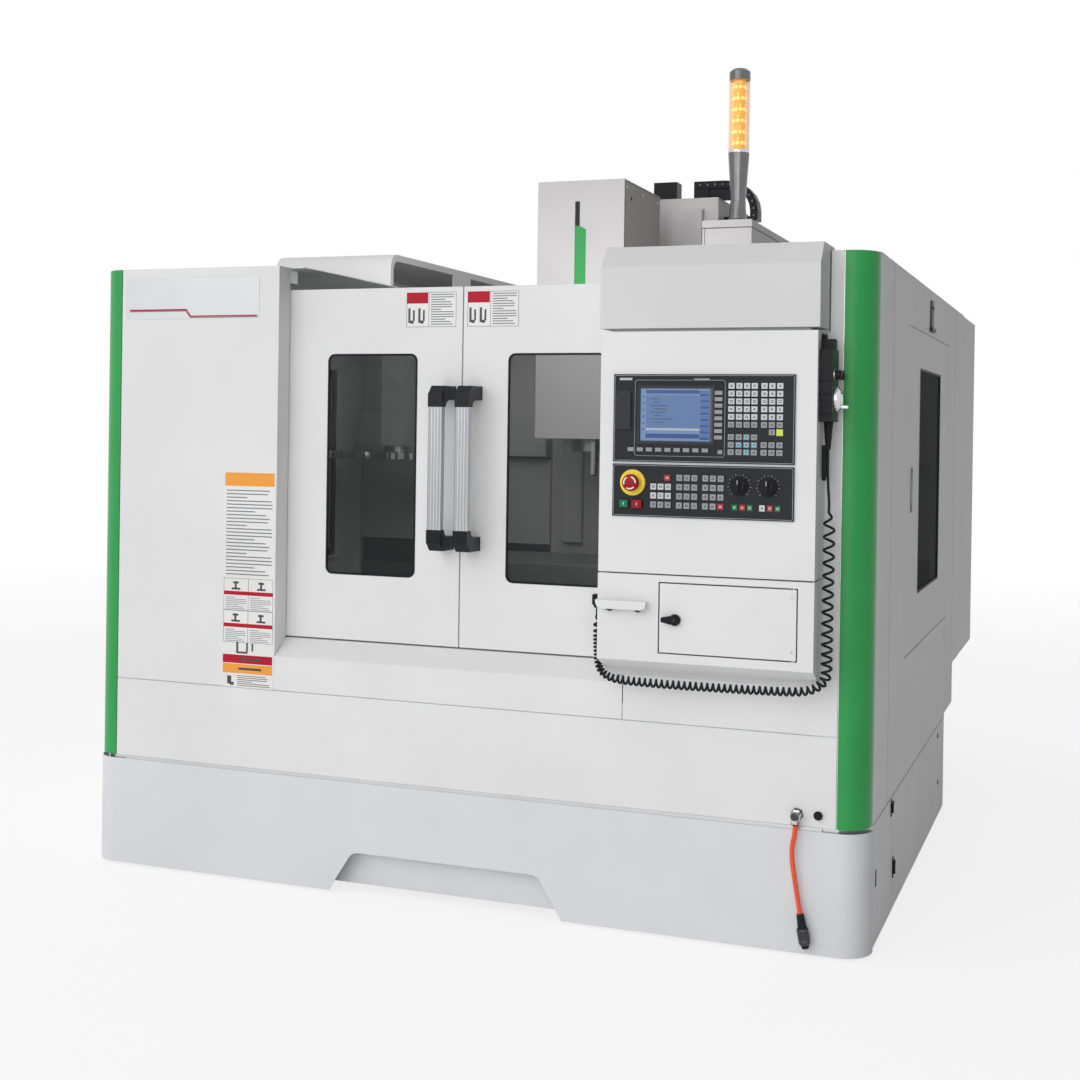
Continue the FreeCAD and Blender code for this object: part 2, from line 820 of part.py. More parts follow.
def chamber_linings():
    """Sloping trays beside the bed, a front tray, the fixed way cover and the splash walls."""
    front = back(dim.door_front + dim.door_thick + 38)
    bed_side = dim.bed_width / 2
    wall = half - skin
    low, high = dim.bed_top - 40, dim.bed_top + 80
    pieces = [box("front_tray", (-wall, wall), (front, back(dim.bed_front)), (low, low + skin))]
    for side in (-1, 1):
        slope = [
            (side * wall, high), (side * (bed_side + 4), low), (side * bed_side, low),
            (side * bed_side, dim.bed_top), (side * (bed_side + skin), dim.bed_top),
            (side * (bed_side + skin), low + skin + 2), (side * wall, high + skin),
        ]
        tray = solid("side_tray", "XZ", slope, back(dim.bed_front), back(dim.column_front - 32))
        pieces.append(tray)
    pieces.append(way_cover("cover_fixed", back(dim.bed_front + 10), 0))
    return node("chamber_linings", group("lining_group", *pieces, *splash_walls()))


def way_cover(name, start, rank):
    """One plate of the telescopic front way cover; each rank runs over the one before."""
    reach = dim.way_offset + dim.way_width / 2 + 40 + rank * COVER_STEP
    top = dim.bed_top + dim.way_height + 12 + rank * COVER_STEP
    low = dim.bed_top + (dim.slide_gap if rank else 0)
    plate = 3
    outline = [
        (-reach, low), (-reach, top), (reach, top), (reach, low), (reach - plate, low),
        (reach - plate, top - plate), (-reach + plate, top - plate), (-reach + plate, low),
    ]
    return solid(name, "XZ", outline, start, start + COVER_LENGTH)


# ---------------------------------------------------------------- electrical cabinet

def electrical_cabinet():
    """Sheet box across the back, open behind, with a post between its two doors."""
    along = (back(dim.cabinet_front), back(dim.cabinet_back - dim.cabinet_door))
    outer = box("cabinet_shell", (-half, half), along, (dim.cabinet_floor, dim.shell_height))
    post = 30
    rear = back(dim.cabinet_back - dim.cabinet_door + 1)
    rooms = []
    for side in (-1, 1):
        across = mirrored_ends(post, half - skin, side)
        rooms.append(box("cabinet_room", across, (back(dim.cabinet_front + skin), rear),
                         (dim.cabinet_floor + skin, dim.shell_height - skin)))
    return node("electrical_cabinet", cut("cabinet", outer, *rooms))


def cabinet_door(name, side):
    """Rear cabinet door: a folded pan with a bank of louvres near its foot."""
    body = new_body(name)
    gap = dim.door_gap / 2
    first, last = mirrored_ends(gap, half, side)
    front, rear = back(dim.cabinet_back - dim.cabinet_door), back(dim.cabinet_back)
    low, high = dim.cabinet_floor, dim.shell_height
    pad(body, "XZ", rectangle(first, low, last, high), front + dim.slide_gap, rear)
    pocket(body, "XZ", rectangle(first + skin, low + skin, last - skin, high - skin),
           front - 1, rear - skin)
    middle = side * half / 2
    slot = rectangle(middle - 130, low + 90, middle + 130, low + 98)
    cutter = pocket(body, "XZ", slot, rear - skin - 1, rear + 1)
    bank = body.newObject("PartDesign::LinearPattern", name + "_louvres")
    bank.Originals = [cutter]
    bank.Direction = (cutter.Profile[0], ["V_Axis"])
    bank.Length = 24 * (LOUVRES - 1)
    bank.Occurrences = LOUVRES
    body.Tip = bank
    return node(name, body)


# ---------------------------------------------------------------- doors

def front_door(side):
    """Sliding door pan with a rounded window; side -1 is left, 1 is right."""
    name = "left" if side < 0 else "right"
    body = new_body(name + "_door")
    edge = dim.door_split + side * dim.door_gap / 2
    far = dim.door_split + side * dim.door_width
    front, rear = back(dim.door_front), back(dim.door_front + dim.door_thick)
    near_glass = dim.door_split + side * dim.window_inset
    far_glass = near_glass + side * dim.window_width
    low, high = dim.window_bottom, dim.window_bottom + dim.window_height
    x_ends = (far, edge) if side < 0 else (edge, far)
    w_ends = (far_glass, near_glass) if side < 0 else (near_glass, far_glass)
    window = rectangle(w_ends[0], low, w_ends[1], high, dim.window_radius)
    rim = dim.glass_overlap + 5
    pad(body, "XZ", rectangle(x_ends[0], dim.door_bottom, x_ends[1], dim.door_top), front, rear, [window])
    inside = rectangle(x_ends[0] + skin, dim.door_bottom + skin, x_ends[1] - skin, dim.door_top - skin)
    frame_out = rectangle(w_ends[0] - rim - skin, low - rim - skin, w_ends[1] + rim + skin, high + rim + skin)
    seat = rectangle(w_ends[0] - rim, low - rim, w_ends[1] + rim, high + rim)
    pocket(body, "XZ", inside, front + skin, rear + 1, [frame_out])
    pocket(body, "XZ", seat, front + skin, rear + 1)
    rail_top = dim.rail_bottom + dim.rail_height + dim.slide_gap
    rail_back = back(dim.door_front + dim.door_thick + 6) + dim.rail_depth
    for near in (dim.hanger_near, dim.door_width - dim.hanger_far):
        hanger_near = dim.door_split + side * near
        hanger_far = hanger_near + side * dim.hanger_width
        h_ends = (hanger_far, hanger_near) if side < 0 else (hanger_near, hanger_far)
        pad(body, "XZ", rectangle(h_ends[0], rail_top, h_ends[1], dim.door_top - 1),
            rear - dim.door_thick + skin, rail_back - 4)
    node(name + "_door", body)
    overlap = dim.glass_overlap
    glass = box(name + "_glass", (w_ends[0] - overlap, w_ends[1] + overlap),
                (front + skin, front + skin + dim.glass_thick), (low - overlap, high + overlap))
    node(name + "_door_glass", glass)
    door_handle(name, side)


def door_handle(name, side):
    """Upright bar between two chamfered elbows."""
    centre = dim.door_split + side * dim.handle_inset
    wide = dim.handle_width / 2
    body = new_body(name + "_door_handle")
    door = back(dim.door_front)
    tip = door - dim.handle_reach
    low, high = dim.handle_bottom, dim.handle_bottom + dim.handle_length
    elbow, thick, chamfer = dim.elbow_length, 24, 20
    outline = [
        (door, low), (tip + chamfer, low), (tip, low + chamfer), (tip, high - chamfer),
        (tip + chamfer, high), (door, high), (door, high - 34), (tip + thick + 22, high - 34),
        (tip + thick, high - elbow), (tip + thick, low + elbow),
        (tip + thick + 22, low + 34), (door, low + 34),
    ]
    pad(body, "YZ", outline, centre - wide, centre + wide)
    return node(name + "_door_handle", body)


def side_door(side):
    """Hinged side door with a window and a recessed pull near its front edge."""
    name = "left_side" if side < 0 else "right_side"
    body = new_body(name + "_door")
    inner, outer = half - dim.side_door_thick, half
    window = rectangle(back(dim.side_window_front), dim.side_window_bottom,
                       back(dim.side_window_back), dim.side_window_top)
    frame = rectangle(back(dim.side_door_front), dim.side_door_bottom,
                      back(dim.side_door_back), dim.side_door_top)
    a, b = mirrored_ends(inner, outer, side)
    pad(body, "YZ", frame, a, b, [window])
    room_a, room_b = mirrored_ends(inner - 1, outer - skin, side)
    rim = dim.glass_overlap + 5
    inside = rectangle(back(dim.side_door_front + skin), dim.side_door_bottom + skin,
                       back(dim.side_door_back - skin), dim.side_door_top - skin)
    y_low, y_high = dim.side_window_front - rim, dim.side_window_back + rim
    z_low, z_high = dim.side_window_bottom - rim, dim.side_window_top + rim
    frame_out = rectangle(back(y_low - skin), z_low - skin, back(y_high + skin), z_high + skin)
    seat = rectangle(back(y_low), z_low, back(y_high), z_high)
    for outline, holes in ((inside, [frame_out]), (seat, [])):
        hollow(body, "YZ", outline, room_a, room_b, side, holes)
    x, y = side * (half - dim.hinge_setback), back(dim.side_door_back - dim.hinge_inset)
    bore = dim.hinge_pin + dim.pin_gap
    drills = [rod("hinge_hole", "z", (x, y, z - skin - 1), bore, 2 * skin + 2)
              for z in (dim.side_door_top, dim.side_door_bottom)]
    node(name + "_door", cut(name + "_door_cut", body, *drills))
    overlap = dim.glass_overlap
    g_a, g_b = mirrored_ends(outer - skin - dim.glass_thick, outer - skin, side)
    glass = box(name + "_pane", (g_a, g_b),
                (back(dim.side_window_front - overlap), back(dim.side_window_back + overlap)),
                (dim.side_window_bottom - overlap, dim.side_window_top + overlap))
    return node(name + "_glass", glass)


def hollow(body, plane, outline, low, high, side, holes=()):
    """Pockets a pan from its inner face, whichever way that face looks."""
    cutter = pocket(body, plane, outline, low, high, holes)
    if side > 0:
        bind(cutter.Profile[0], "AttachmentOffset.Base.z", low)
        cutter.Reversed = True
    return cutter


# ---------------------------------------------------------------- operator pod

def control_box():
    """Main pod box: open behind, cut out behind both panels, with the pendant's hanger."""
    left, right = dim.pod_left, pod_right
    front, rear = back(-dim.pod_reach), back(0)
    low, high = dim.pod_seam_height, dim.pod_box_top
    shell = box("pod_shell", (left, right), (front, rear), (low, high))
    room = box("pod_room", (left + skin, right - skin), (front + skin, rear + 1), (low + skin, high - skin))
    inset = 12
    across = (dim.panel_left + inset, dim.panel_left + dim.panel_width - inset)
    through = (front - 1, front + skin + 1)
    upper_low = dim.panel_top - dim.operator_panel_height
    lower_top = upper_low - dim.panel_spacing
    first = box("operator_cutout", across, through, (upper_low + inset, dim.panel_top - inset))
    second = box("machine_cutout", across, through,
                 (lower_top - dim.machine_panel_height + inset, lower_top - inset))
    hook_top = dim.pendant_bottom + dim.pendant_height
    hook = box("pendant_hook", (right - 1, right + dim.pendant_thick),
               (back(dim.pendant_depth - 12), back(dim.pendant_depth + 12)), (hook_top, hook_top + 22))
    return node("control_box", fuse("pod_box", cut("pod_cut", shell, room, first, second), hook))


def control_hood():
    """Hood over the pod, with a sloped front edge."""
    flare = dim.hood_flare
    front, rear = back(-dim.pod_reach), back(dim.hood_back)
    low, high = dim.pod_box_top + dim.hood_gap, dim.hood_top
    slope, rise = dim.hood_chamfer_depth, dim.hood_chamfer_height
    outline = [
        (front, low), (front, high - rise), (front + slope, high), (rear, high), (rear, high - skin),
        (front + slope + 1, high - skin), (front + skin, high - rise - 1), (front + skin, low),
    ]
    body = new_body("control_hood")
    left, right = dim.pod_left - flare, pod_right + flare
    pad(body, "YZ", outline, left, right)
    cheek = [(front, low), (front, high - rise), (front + slope, high), (rear, high), (rear, low)]
    pad(body, "YZ", cheek, left, left + skin)
    pad(body, "YZ", cheek, right - skin, right)
    pad(body, "XY", rectangle(left, front, right, back(0)), low, low + skin)
    pad(body, "XY", rectangle(left + 25, front + 25, right - 25, back(0)), low - dim.hood_gap, low + skin)
    return node("control_hood", body)


def control_lower_box():
    """Lower pod box with a sloped underside, a door opening, a grab bar and the cord's socket."""
    left, right = dim.pod_left, pod_right
    front, rear = back(-dim.pod_reach), back(0)
    high = dim.pod_seam_height - dim.pod_seam
    outline = [(front, dim.pod_front_bottom), (front, high), (rear, high), (rear, dim.pod_back_bottom)]
    inside = [
        (front + skin, dim.pod_front_bottom + skin), (front + skin, high - skin),
        (rear + 1, high - skin), (rear + 1, dim.pod_back_bottom + skin),
    ]
    body = new_body("control_lower_box")
    pad(body, "YZ", outline, left, right)
    pocket(body, "YZ", inside, left + skin, right - skin)
    gap = dim.door_gap
    door = rectangle(dim.service_left - gap, dim.service_bottom - gap,
                     dim.service_left + dim.service_width + gap, dim.service_top + gap)
    pocket(body, "XZ", door, front - 1, front + skin + 1)
    inset = dim.service_hinge_inset
    x, y = dim.service_left + dim.service_width - inset, front + inset
    pins = []
    for edge, grow in ((dim.service_top, 1), (dim.service_bottom, -1)):
        bottom, top = sorted_ends(edge + grow * gap, edge + grow * (gap + 6))
        pins.append(box("service_bracket", (x - 8, x + 14), (front + skin, y + 8), (bottom, top)))
        start, end = sorted_ends(edge - grow * (skin + 1), edge + grow * (gap + 1))
        pins.append(rod("service_pin", "z", (x, y, start), dim.service_pin, end - start))
    grab = dim.grab_height
    for foot in (32, 99):
        block = rectangle(left + foot - 5, grab - 5, left + foot + 5, grab + 5)
        pad(body, "XZ", block, front - 14, front + 1)
    pad(body, "XZ", rectangle(left + 6, grab - 8, left + 121, grab + 8), front - 24, front - 12)
    cord_depth = back(dim.pendant_depth)
    socket = rectangle(left - CORD_OUT - 9, cord_depth - 9, left + 1, cord_depth + 9)
    pad(body, "XY", socket, dim.socket_height, dim.socket_height + 22)
    return node("control_lower_box", fuse("lower_box_whole", body, *pins))


def operator_panels():
    """Bezels of the operator panel and the machine panel, with screen recess and stop-button ring."""
    front = back(-dim.pod_reach)
    face = front - dim.panel_thick
    left, right = dim.panel_left, dim.panel_left + dim.panel_width
    top, bottom = dim.panel_top, dim.panel_top - dim.operator_panel_height
    upper = new_body("operator_panel")
    pad(upper, "XZ", rectangle(left, bottom, right, top), face, front)
    screen = rectangle(left + 63, top - 153, left + 233, top - 31)
    pocket(upper, "XZ", screen, face - 1, face + 1.5)
    low_top = bottom - dim.panel_spacing
    low_bottom = low_top - dim.machine_panel_height
    lower = new_body("machine_panel")
    pad(lower, "XZ", rectangle(left, low_bottom, right, low_top), face, front)
    ring_x, ring_z = left + STOP_PLACE[0], top - STOP_PLACE[1]
    ring = prism("stop_ring", "y", (ring_x, face - 3, ring_z), 24, 29, 4)
    hole = prism("stop_hole", "y", (ring_x, face - 5, ring_z), 8, 11.4, 30)
    cutters = [hole]
    for place_x, place_z, wide, tall in (START_PLACE, HALT_PLACE):
        across = (left + place_x - wide / 2 + 2, left + place_x + wide / 2 - 2)
        up = (top - place_z - tall / 2 + 2, top - place_z + tall / 2 - 2)
        cutters.append(box("button_hole", across, (face - 5, front + 5), up))
    for place_x, place_z in KNOB_PLACES:
        cutters.append(rod("knob_hole", "y", (left + place_x, face - 5, top - place_z), 4.4, 30))
    machine = cut("machine_cut", fuse("machine_fuse", lower, ring), *cutters)
    return node("operator_panels", group("panel_group", upper, machine))


def key_places():
    """Centres (right, down), width and height of every key cap, from the panel's corner."""
    places = [(42.8 + 21.8 * i, 171.5, 16, 8) for i in range(9)]
    places += [(252, 174.5, 10, 8)]
    places += [(247, 41.6 + 14.3 * i, 10, 9) for i in range(8)]
    columns = (276.5, 294.3, 311.8, 329, 351, 368.6, 386.3)
    places += [(x, 25.8 + 17.3 * row, 14, 13) for x in columns for row in range(6)]
    places += [(369, 128.5, 14, 13), (386.4, 129, 14, 13)]
    places += [(x, z, 14, 13) for x in columns[:4] for z in (140.2, 157.5, 174)]
    places += [(x, z, 14, 13) for x in columns[4:] for z in (157, 174)]
    places += [(98 + 17.2 * i, 255.5 + 20.4 * row, 14, 14) for i in range(3) for row in range(3)]
    places += [(130.5, 235, 14, 14)]
    for start in (158.8, 219.4):
        places += [(start + 17.6 * i, 234.3 + 20.9 * row, 14, 14) for i in range(3) for row in range(4)]
    places += [(x, 297.4, 13, 14) for x in (287, 304.5, 321.5, 349.3, 366.8, 384.4)]
    return places


def panel_keys():
    """All fixed key caps of both panels, as separate solids in one node."""
    face = back(-dim.pod_reach) - dim.panel_thick
    caps = []
    for right, down, wide, tall in key_places():
        x, z = dim.panel_left + right, dim.panel_top - down
        caps.append(box("key", (x - wide / 2, x + wide / 2), (face - dim.key_height, face),
                        (z - tall / 2, z + tall / 2)))
    return node("panel_keys", group("key_group", *caps))


def panel_controls():
    """Emergency stop, start and stop buttons and the two override knobs."""
    face = back(-dim.pod_reach) - dim.panel_thick
    left, top = dim.panel_left, dim.panel_top
    x, z = left + STOP_PLACE[0], top - STOP_PLACE[1]
    head = prism("mushroom_head", "y", (x, face - 26, z), 24, 19.5, 13)
    stem = prism("mushroom_stem", "y", (x, face - 14, z), 8, 11, 24)
    node("emergency_stop", fuse("mushroom", head, stem))
    for name, (right, down, wide, tall) in (("start_button", START_PLACE), ("stop_button", HALT_PLACE)):
        bx, bz = left + right, top - down
        cap = box(name + "_cap", (bx - wide / 2, bx + wide / 2), (face - 6, face - 2.5),
                  (bz - tall / 2, bz + tall / 2))
        stalk = box(name + "_stem", (bx - wide / 2 + 2.5, bx + wide / 2 - 2.5), (face - 4, face + 9),
                    (bz - tall / 2 + 2.5, bz + tall / 2 - 2.5))
        node(name, fuse(name + "_fuse", cap, stalk))
    for name, (right, down) in zip(("feed_knob", "speed_knob"), KNOB_PLACES):
        kx, kz = left + right, top - down
        cap = prism(name + "_cap", "y", (kx, face - 16, kz), 12, 14, 15.5)
        shaft = rod(name + "_shaft", "y", (kx, face - 2, kz), 4.35, 12)
        grip = box(name + "_grip", (kx - 3, kx + 3), (face - 21, face - 14), (kz - 13, kz + 13))
        node(name, fuse(name + "_fuse", cap, shaft, grip))


def service_door():
    """Door of the lower box with a quarter-turn latch."""
    front = back(-dim.pod_reach)
    left, right = dim.service_left, dim.service_left + dim.service_width
    body = new_body("service_door")
    low, high = dim.service_bottom, dim.service_top
    rear = front + dim.service_thick
    pad(body, "XZ", rectangle(left, low, right, high), front, rear)
    pocket(body, "XZ", rectangle(left + skin, low + skin, right - skin, high - skin), front + skin, rear + 1)
    x, z = left + 37, (low + high) / 2 - 3
    drill = rod("latch_hole", "y", (x, front - 2, z), 8.06, 12)
    inset, bore = dim.service_hinge_inset, dim.service_pin + dim.pin_gap
    drills = [rod("service_hole", "z", (right - inset, front + inset, edge - skin - 1), bore, 2 * skin + 2)
              for edge in (low, high)]
    node("service_door", cut("service_cut", body, drill, *drills))
    knob = prism("latch_knob", "y", (x, front - 16, z), 12, dim.latch_radius, 15.5)
    stem = rod("latch_stem", "y", (x, front - 1, z), 8, 9)
    lever = box("latch_lever", (x - 30, x), (front - 14, front - 5), (z - 6, z + 6))
    node("service_latch", fuse("latch", knob, stem, lever))


# ---------------------------------------------------------------- bed, column and moving axes

def bed_casting():
    """T-shaped cast bed, hollowed from below in ribbed cells, with two box ways on top."""
    body = new_body("bed_casting")
    side = dim.bed_width / 2
    foot = dim.column_width / 2 + 20
    front, step = back(dim.bed_front), back(dim.column_front - 30)
    rear = back(dim.column_front + dim.column_depth)
    outline = [
        (-side, front), (side, front), (side, step), (foot, step), (foot, rear),
        (-foot, rear), (-foot, step), (-side, step),
    ]
    pad(body, "XY", outline, dim.bed_bottom, dim.bed_top)
    for row in range(BED_CELLS):
        cell = (dim.column_front - dim.bed_front - 90) / BED_CELLS
        low = front + 40 + row * (cell + 10)
        for sign in (-1, 1):
            a, b = mirrored_ends(15, side - 35, sign)
            pocket_up(body, rectangle(a, low, b, low + cell), dim.bed_bottom, dim.bed_top - 60)
    for sign in (-1, 1):
        a, b = mirrored_ends(dim.way_offset - dim.way_width / 2, dim.way_offset + dim.way_width / 2, sign)
        pad(body, "XY", rectangle(a, front + 50, b, step), dim.bed_top, dim.bed_top + dim.way_height)
    return node("bed_casting", body)


def pocket_up(body, outline, low, high):
    """Hollows a casting from its underside."""
    cutter = pocket(body, "XY", outline, low, high)
    bind(cutter.Profile[0], "AttachmentOffset.Base.z", low)
    cutter.Reversed = True
    return cutter


def levelling_feet():
    """Six levelling pads with their screws."""
    feet = []
    depths = (dim.bed_front + 70, dim.spindle_depth, dim.column_front + dim.column_depth - 70)
    for depth in depths:
        for sign in (-1, 1):
            x = sign * (dim.bed_width / 2 - 17)
            pad_disc = prism("foot_pad", "z", (x, back(depth), 0), 8, 45, 22)
            screw = prism("foot_screw", "z", (x, back(depth), 20), 6, 14, dim.bed_bottom - 20)
            feet.append(fuse("foot", pad_disc, screw))
    return node("levelling_feet", group("feet_group", *feet))


def column():
    """Hollow cast column with two box ways and the arm that carries the tool magazine."""
    body = new_body("column_body")
    side = dim.column_width / 2
    front, rear = back(dim.column_front), back(dim.column_front + dim.column_depth)
    pad(body, "XY", rectangle(-side, front, side, rear), dim.bed_top, dim.column_top)
    pocket_up(body, rectangle(-side + 35, front + 45, side - 35, rear - 35), dim.bed_top, dim.column_top - 40)
    window = rectangle(-90, dim.column_way_bottom + 100, 90, dim.column_way_bottom + 500)
    pocket(body, "XZ", window, rear - 50, rear + 1)
    for sign in (-1, 1):
        a, b = mirrored_ends(dim.way_offset - dim.way_width / 2, dim.way_offset + dim.way_width / 2, sign)
        way = rectangle(a, dim.column_way_bottom, b, dim.column_top - 40)
        pad(body, "XZ", way, front - dim.way_height, front + 1)
    arm_back = back(dim.column_front - 80)
    arm_low, arm_high = dim.arm_bottom, dim.arm_bottom + dim.arm_height
    arm = box("magazine_arm", (-half + 40, -side + 28), (arm_back - 60, arm_back), (arm_low, arm_high))
    lug = box("magazine_lug", (-side, -side + 28), (arm_back - 1, front + 20), (arm_low, arm_high))
    rail = box("magazine_rail", (-half + 60, -side + 28), (arm_back - 72, arm_back - 59),
               (arm_low + 25, arm_high - 25))
    return node("column", fuse("column_fuse", body, arm, lug, rail))


def saddle():
    """Cross saddle: channels over the bed ways below, two cross ways above, apron in front."""
    body = new_body("saddle")
    reach = dim.saddle_width / 2
    low = dim.bed_top + dim.way_height + dim.slide_gap
    front = back(dim.spindle_depth - dim.saddle_length / 2)
    rear = back(dim.spindle_depth + dim.saddle_length / 2)
    top = dim.saddle_top
    keeper = dim.bed_top + 8
    inner = dim.way_offset - dim.way_width / 2 - dim.slide_gap
    outer = dim.way_offset + dim.way_width / 2 + dim.slide_gap
    wing = low + 50
    outline = [
        (-reach, top), (-reach, wing), (-outer - 25, wing), (-outer - 25, keeper), (-outer, keeper),
        (-outer, low), (-inner, low), (-inner, keeper), (-inner + 25, keeper), (-inner + 25, low + 10),
        (inner - 25, low + 10), (inner - 25, keeper), (inner, keeper), (inner, low), (outer, low),
        (outer, keeper), (outer + 25, keeper), (outer + 25, wing), (reach, wing), (reach, top),
    ]
    pad(body, "XZ", outline, front, rear)
    cross = dim.cross_way_width / 2
    for sign in (-1, 1):
        middle = back(dim.spindle_depth) + sign * dim.cross_way_offset
        way = rectangle(middle - cross, top - 1, middle + cross, top + dim.way_height)
        pad(body, "YZ", way, -reach, reach)
    cover = way_cover("saddle_cover", front - COVER_LENGTH + 5, 2)
    return node("saddle", fuse("saddle_fuse", body, cover))


def way_cover_middle():
    """Middle plate of the front way cover; it moves half as far as the saddle."""
    fixed = back(dim.bed_front + 10)
    moving = back(dim.spindle_depth - dim.saddle_length / 2) - COVER_LENGTH + 5
    start = (fixed + moving) / 2
    return node("way_cover_middle", way_cover("cover_middle", start, 1))


def table():
    """Work table with T-slots along X and channels over the saddle's cross ways."""
    body = new_body("table")
    reach, wide = dim.table_length / 2, dim.table_width / 2
    centre = back(dim.spindle_depth)
    low, top = dim.saddle_top + dim.way_height + dim.slide_gap, dim.table_top
    gap = dim.cross_way_width / 2 + dim.slide_gap
    keeper = dim.saddle_top + 8
    channel = []
    for start in (-dim.cross_way_offset, dim.cross_way_offset):
        channel += [
            (centre + start - gap - 20, low), (centre + start - gap - 20, keeper),
            (centre + start - gap, keeper), (centre + start - gap, low),
            (centre + start + gap, low), (centre + start + gap, keeper),
            (centre + start + gap + 20, keeper), (centre + start + gap + 20, low),
        ]
    near, far = centre - wide, centre + wide
    outline = [(near, top), (near, low), *channel, (far, low), (far, top)]
    pad(body, "YZ", outline, -reach, reach)
    first = centre - dim.slot_pitch * (SLOTS - 1) / 2
    throat, foot = dim.slot_width / 2, dim.slot_width / 2 + 6
    tee = [
        (first - throat, top + 1), (first - throat, top - 18), (first - foot, top - 18),
        (first - foot, top - 32), (first + foot, top - 32), (first + foot, top - 18),
        (first + throat, top - 18), (first + throat, top + 1),
    ]
    cutter = pocket(body, "YZ", tee, -reach - 1, reach + 1)
    slots = body.newObject("PartDesign::LinearPattern", "table_slots")
    slots.Originals = [cutter]
    slots.Direction = (cutter.Profile[0], ["H_Axis"])
    bind(slots, "Length", dim.slot_pitch * (SLOTS - 1))
    slots.Occurrences = SLOTS
    body.Tip = slots
    return node("table", body)


def head_casting():
    """Cast spindle head with its way plate, bore, drive motor and two coolant nozzles."""
    body = new_body("head_body")
    centre = back(dim.spindle_depth)
    side = dim.head_width / 2 - 15
    plate_side = dim.way_offset + dim.way_width / 2 + 8
    way = back(dim.column_front - dim.way_height) - dim.slide_gap
    low = dim.head_bottom + skin
    outline = [
        (-side, back(dim.head_front + 15)), (side, back(dim.head_front + 15)),
        (side, back(dim.head_cover_back + 10)), (plate_side, way - 45), (plate_side, way),
        (-plate_side, way), (-plate_side, way - 45), (-side, back(dim.head_cover_back + 10)),
    ]
    pad(body, "XY", outline, low, low + 300)
    pad(body, "XY", rectangle(-plate_side, way - 45, plate_side, way), low, low + 430)
    motor = box("drive_motor", (-80, 80), (centre - 80, centre + 80), (low + 299, low + 620))
    bore = rod("spindle_bore", "z", (0, centre, low - 5), dim.nose_radius + dim.bore_gap, 250)
    nozzles = []
    for x in (42, 84):
        nozzles.append(prism("nozzle", "z", (x, back(dim.head_front + 28), dim.nozzle_bottom), 6,
                             8, low + 5 - dim.nozzle_bottom))
    solid_head = cut("head_bored", fuse("head_fuse", body, motor), bore)
    return node("head_casting", fuse("head_whole", solid_head, *nozzles))


def head_cover():
    """Sheet cover round the head, open at the back, with a stepped slot in its face."""
    body = new_body("head_cover")
    side = dim.head_width / 2
    front, rear = back(dim.head_front), back(dim.head_cover_back)
    outline = [
        (-side, rear), (-side, front), (side, front), (side, rear), (side - skin, rear),
        (side - skin, front + skin), (-side + skin, front + skin), (-side + skin, rear),
    ]
    pad(body, "XY", outline, dim.head_bottom, dim.head_top)
    pad(body, "XY", rectangle(-side, front, side, rear), dim.head_top - skin, dim.head_top)
    step = dim.nose_radius + 8
    centre = back(dim.spindle_depth)
    cut_off = step * 0.586
    hole = [
        (-step + cut_off, centre - step), (step - cut_off, centre - step), (step, centre - step + cut_off),
        (step, centre + step - cut_off), (step - cut_off, centre + step), (-step + cut_off, centre + step),
        (-step, centre + step - cut_off), (-step, centre - step + cut_off),
    ]
    gaps = rectangle(30, front + 14, 96, front + 42)
    floor = rectangle(-side, front, side, rear)
    pad(body, "XY", floor, dim.head_bottom, dim.head_bottom + skin, [hole, gaps])
    top = dim.head_top
    slot = [
        (-18, top - 470), (18, top - 470), (18, top - 150),
        (-3, top - 128), (-3, top - 64), (-18, top - 64),
    ]
    pocket(body, "XZ", slot, front - 1, front + skin + 1)
    backing = rectangle(-30, top - 485, 30, top - 50)
    pad(body, "XZ", backing, front + skin, front + skin + 3)
    return node("head_cover", body)


def spindle():
    """Turned spindle with its tool taper and draw-bar hole."""
    centre, nose = back(dim.spindle_depth), dim.nose_bottom
    blank = rod("spindle_blank", "z", (0, centre, nose), dim.nose_radius, SPINDLE_LENGTH)
    axis = Vector(0, number(centre), number(nose) - 1)
    taper = faceted("spindle_taper", axis, Vector(0, 0, 1), 24, ((22, 0), (12, 80), (12, SPINDLE_LENGTH + 2)))
    return node("spindle", cut("spindle", blank, taper))


# ---------------------------------------------------------------- tool magazine


def tool_carousel():
    """Magazine disc: twelve open pockets on a tool circle round a hub."""
    body = new_body("tool_carousel")
    low = dim.disc_bottom
    disc = 150
    hub = [(20, low), (40, low), (40, low + 40), (20, low + 40)]
    sketch = new_sketch(body, "XZ", 0, [hub])
    turn = body.newObject("PartDesign::Revolution", "carousel_hub")
    turn.Profile = sketch
    turn.ReferenceAxis = (sketch, ["V_Axis"])
    turn.Angle = 360
    rim = [(disc * math.cos(i * math.pi / FINGERS), disc * math.sin(i * math.pi / FINGERS))
           for i in range(2 * FINGERS)]
    eye = [(32 * math.cos(i * math.pi / 4), 32 * math.sin(i * math.pi / 4)) for i in range(8)]
    pad(body, "XY", rim, low, low + dim.disc_thick, [eye])
    reach, grip = dim.magazine_reach, dim.pocket_radius
    circle = dim.tool_circle
    arm = 35
    fork = [
        (disc - 15, -arm), (reach, -arm), (reach, -grip + 4),
        (circle - grip + 12, -grip + 4), (circle - grip, -10),
        (circle - grip, 10), (circle - grip + 12, grip - 4),
        (reach, grip - 4), (reach, arm), (disc - 15, arm),
    ]
    finger = pad(body, "XY", fork, low, low + dim.disc_thick)
    spread = body.newObject("PartDesign::PolarPattern", "carousel_fingers")
    spread.Originals = [finger]
    spread.Axis = (finger.Profile[0], ["N_Axis"])
    spread.Angle = 360
    spread.Occurrences = FINGERS
    body.Tip = spread
    place(body, (dim.magazine_park, back(dim.spindle_depth), 0))
    return node("tool_carousel", body)


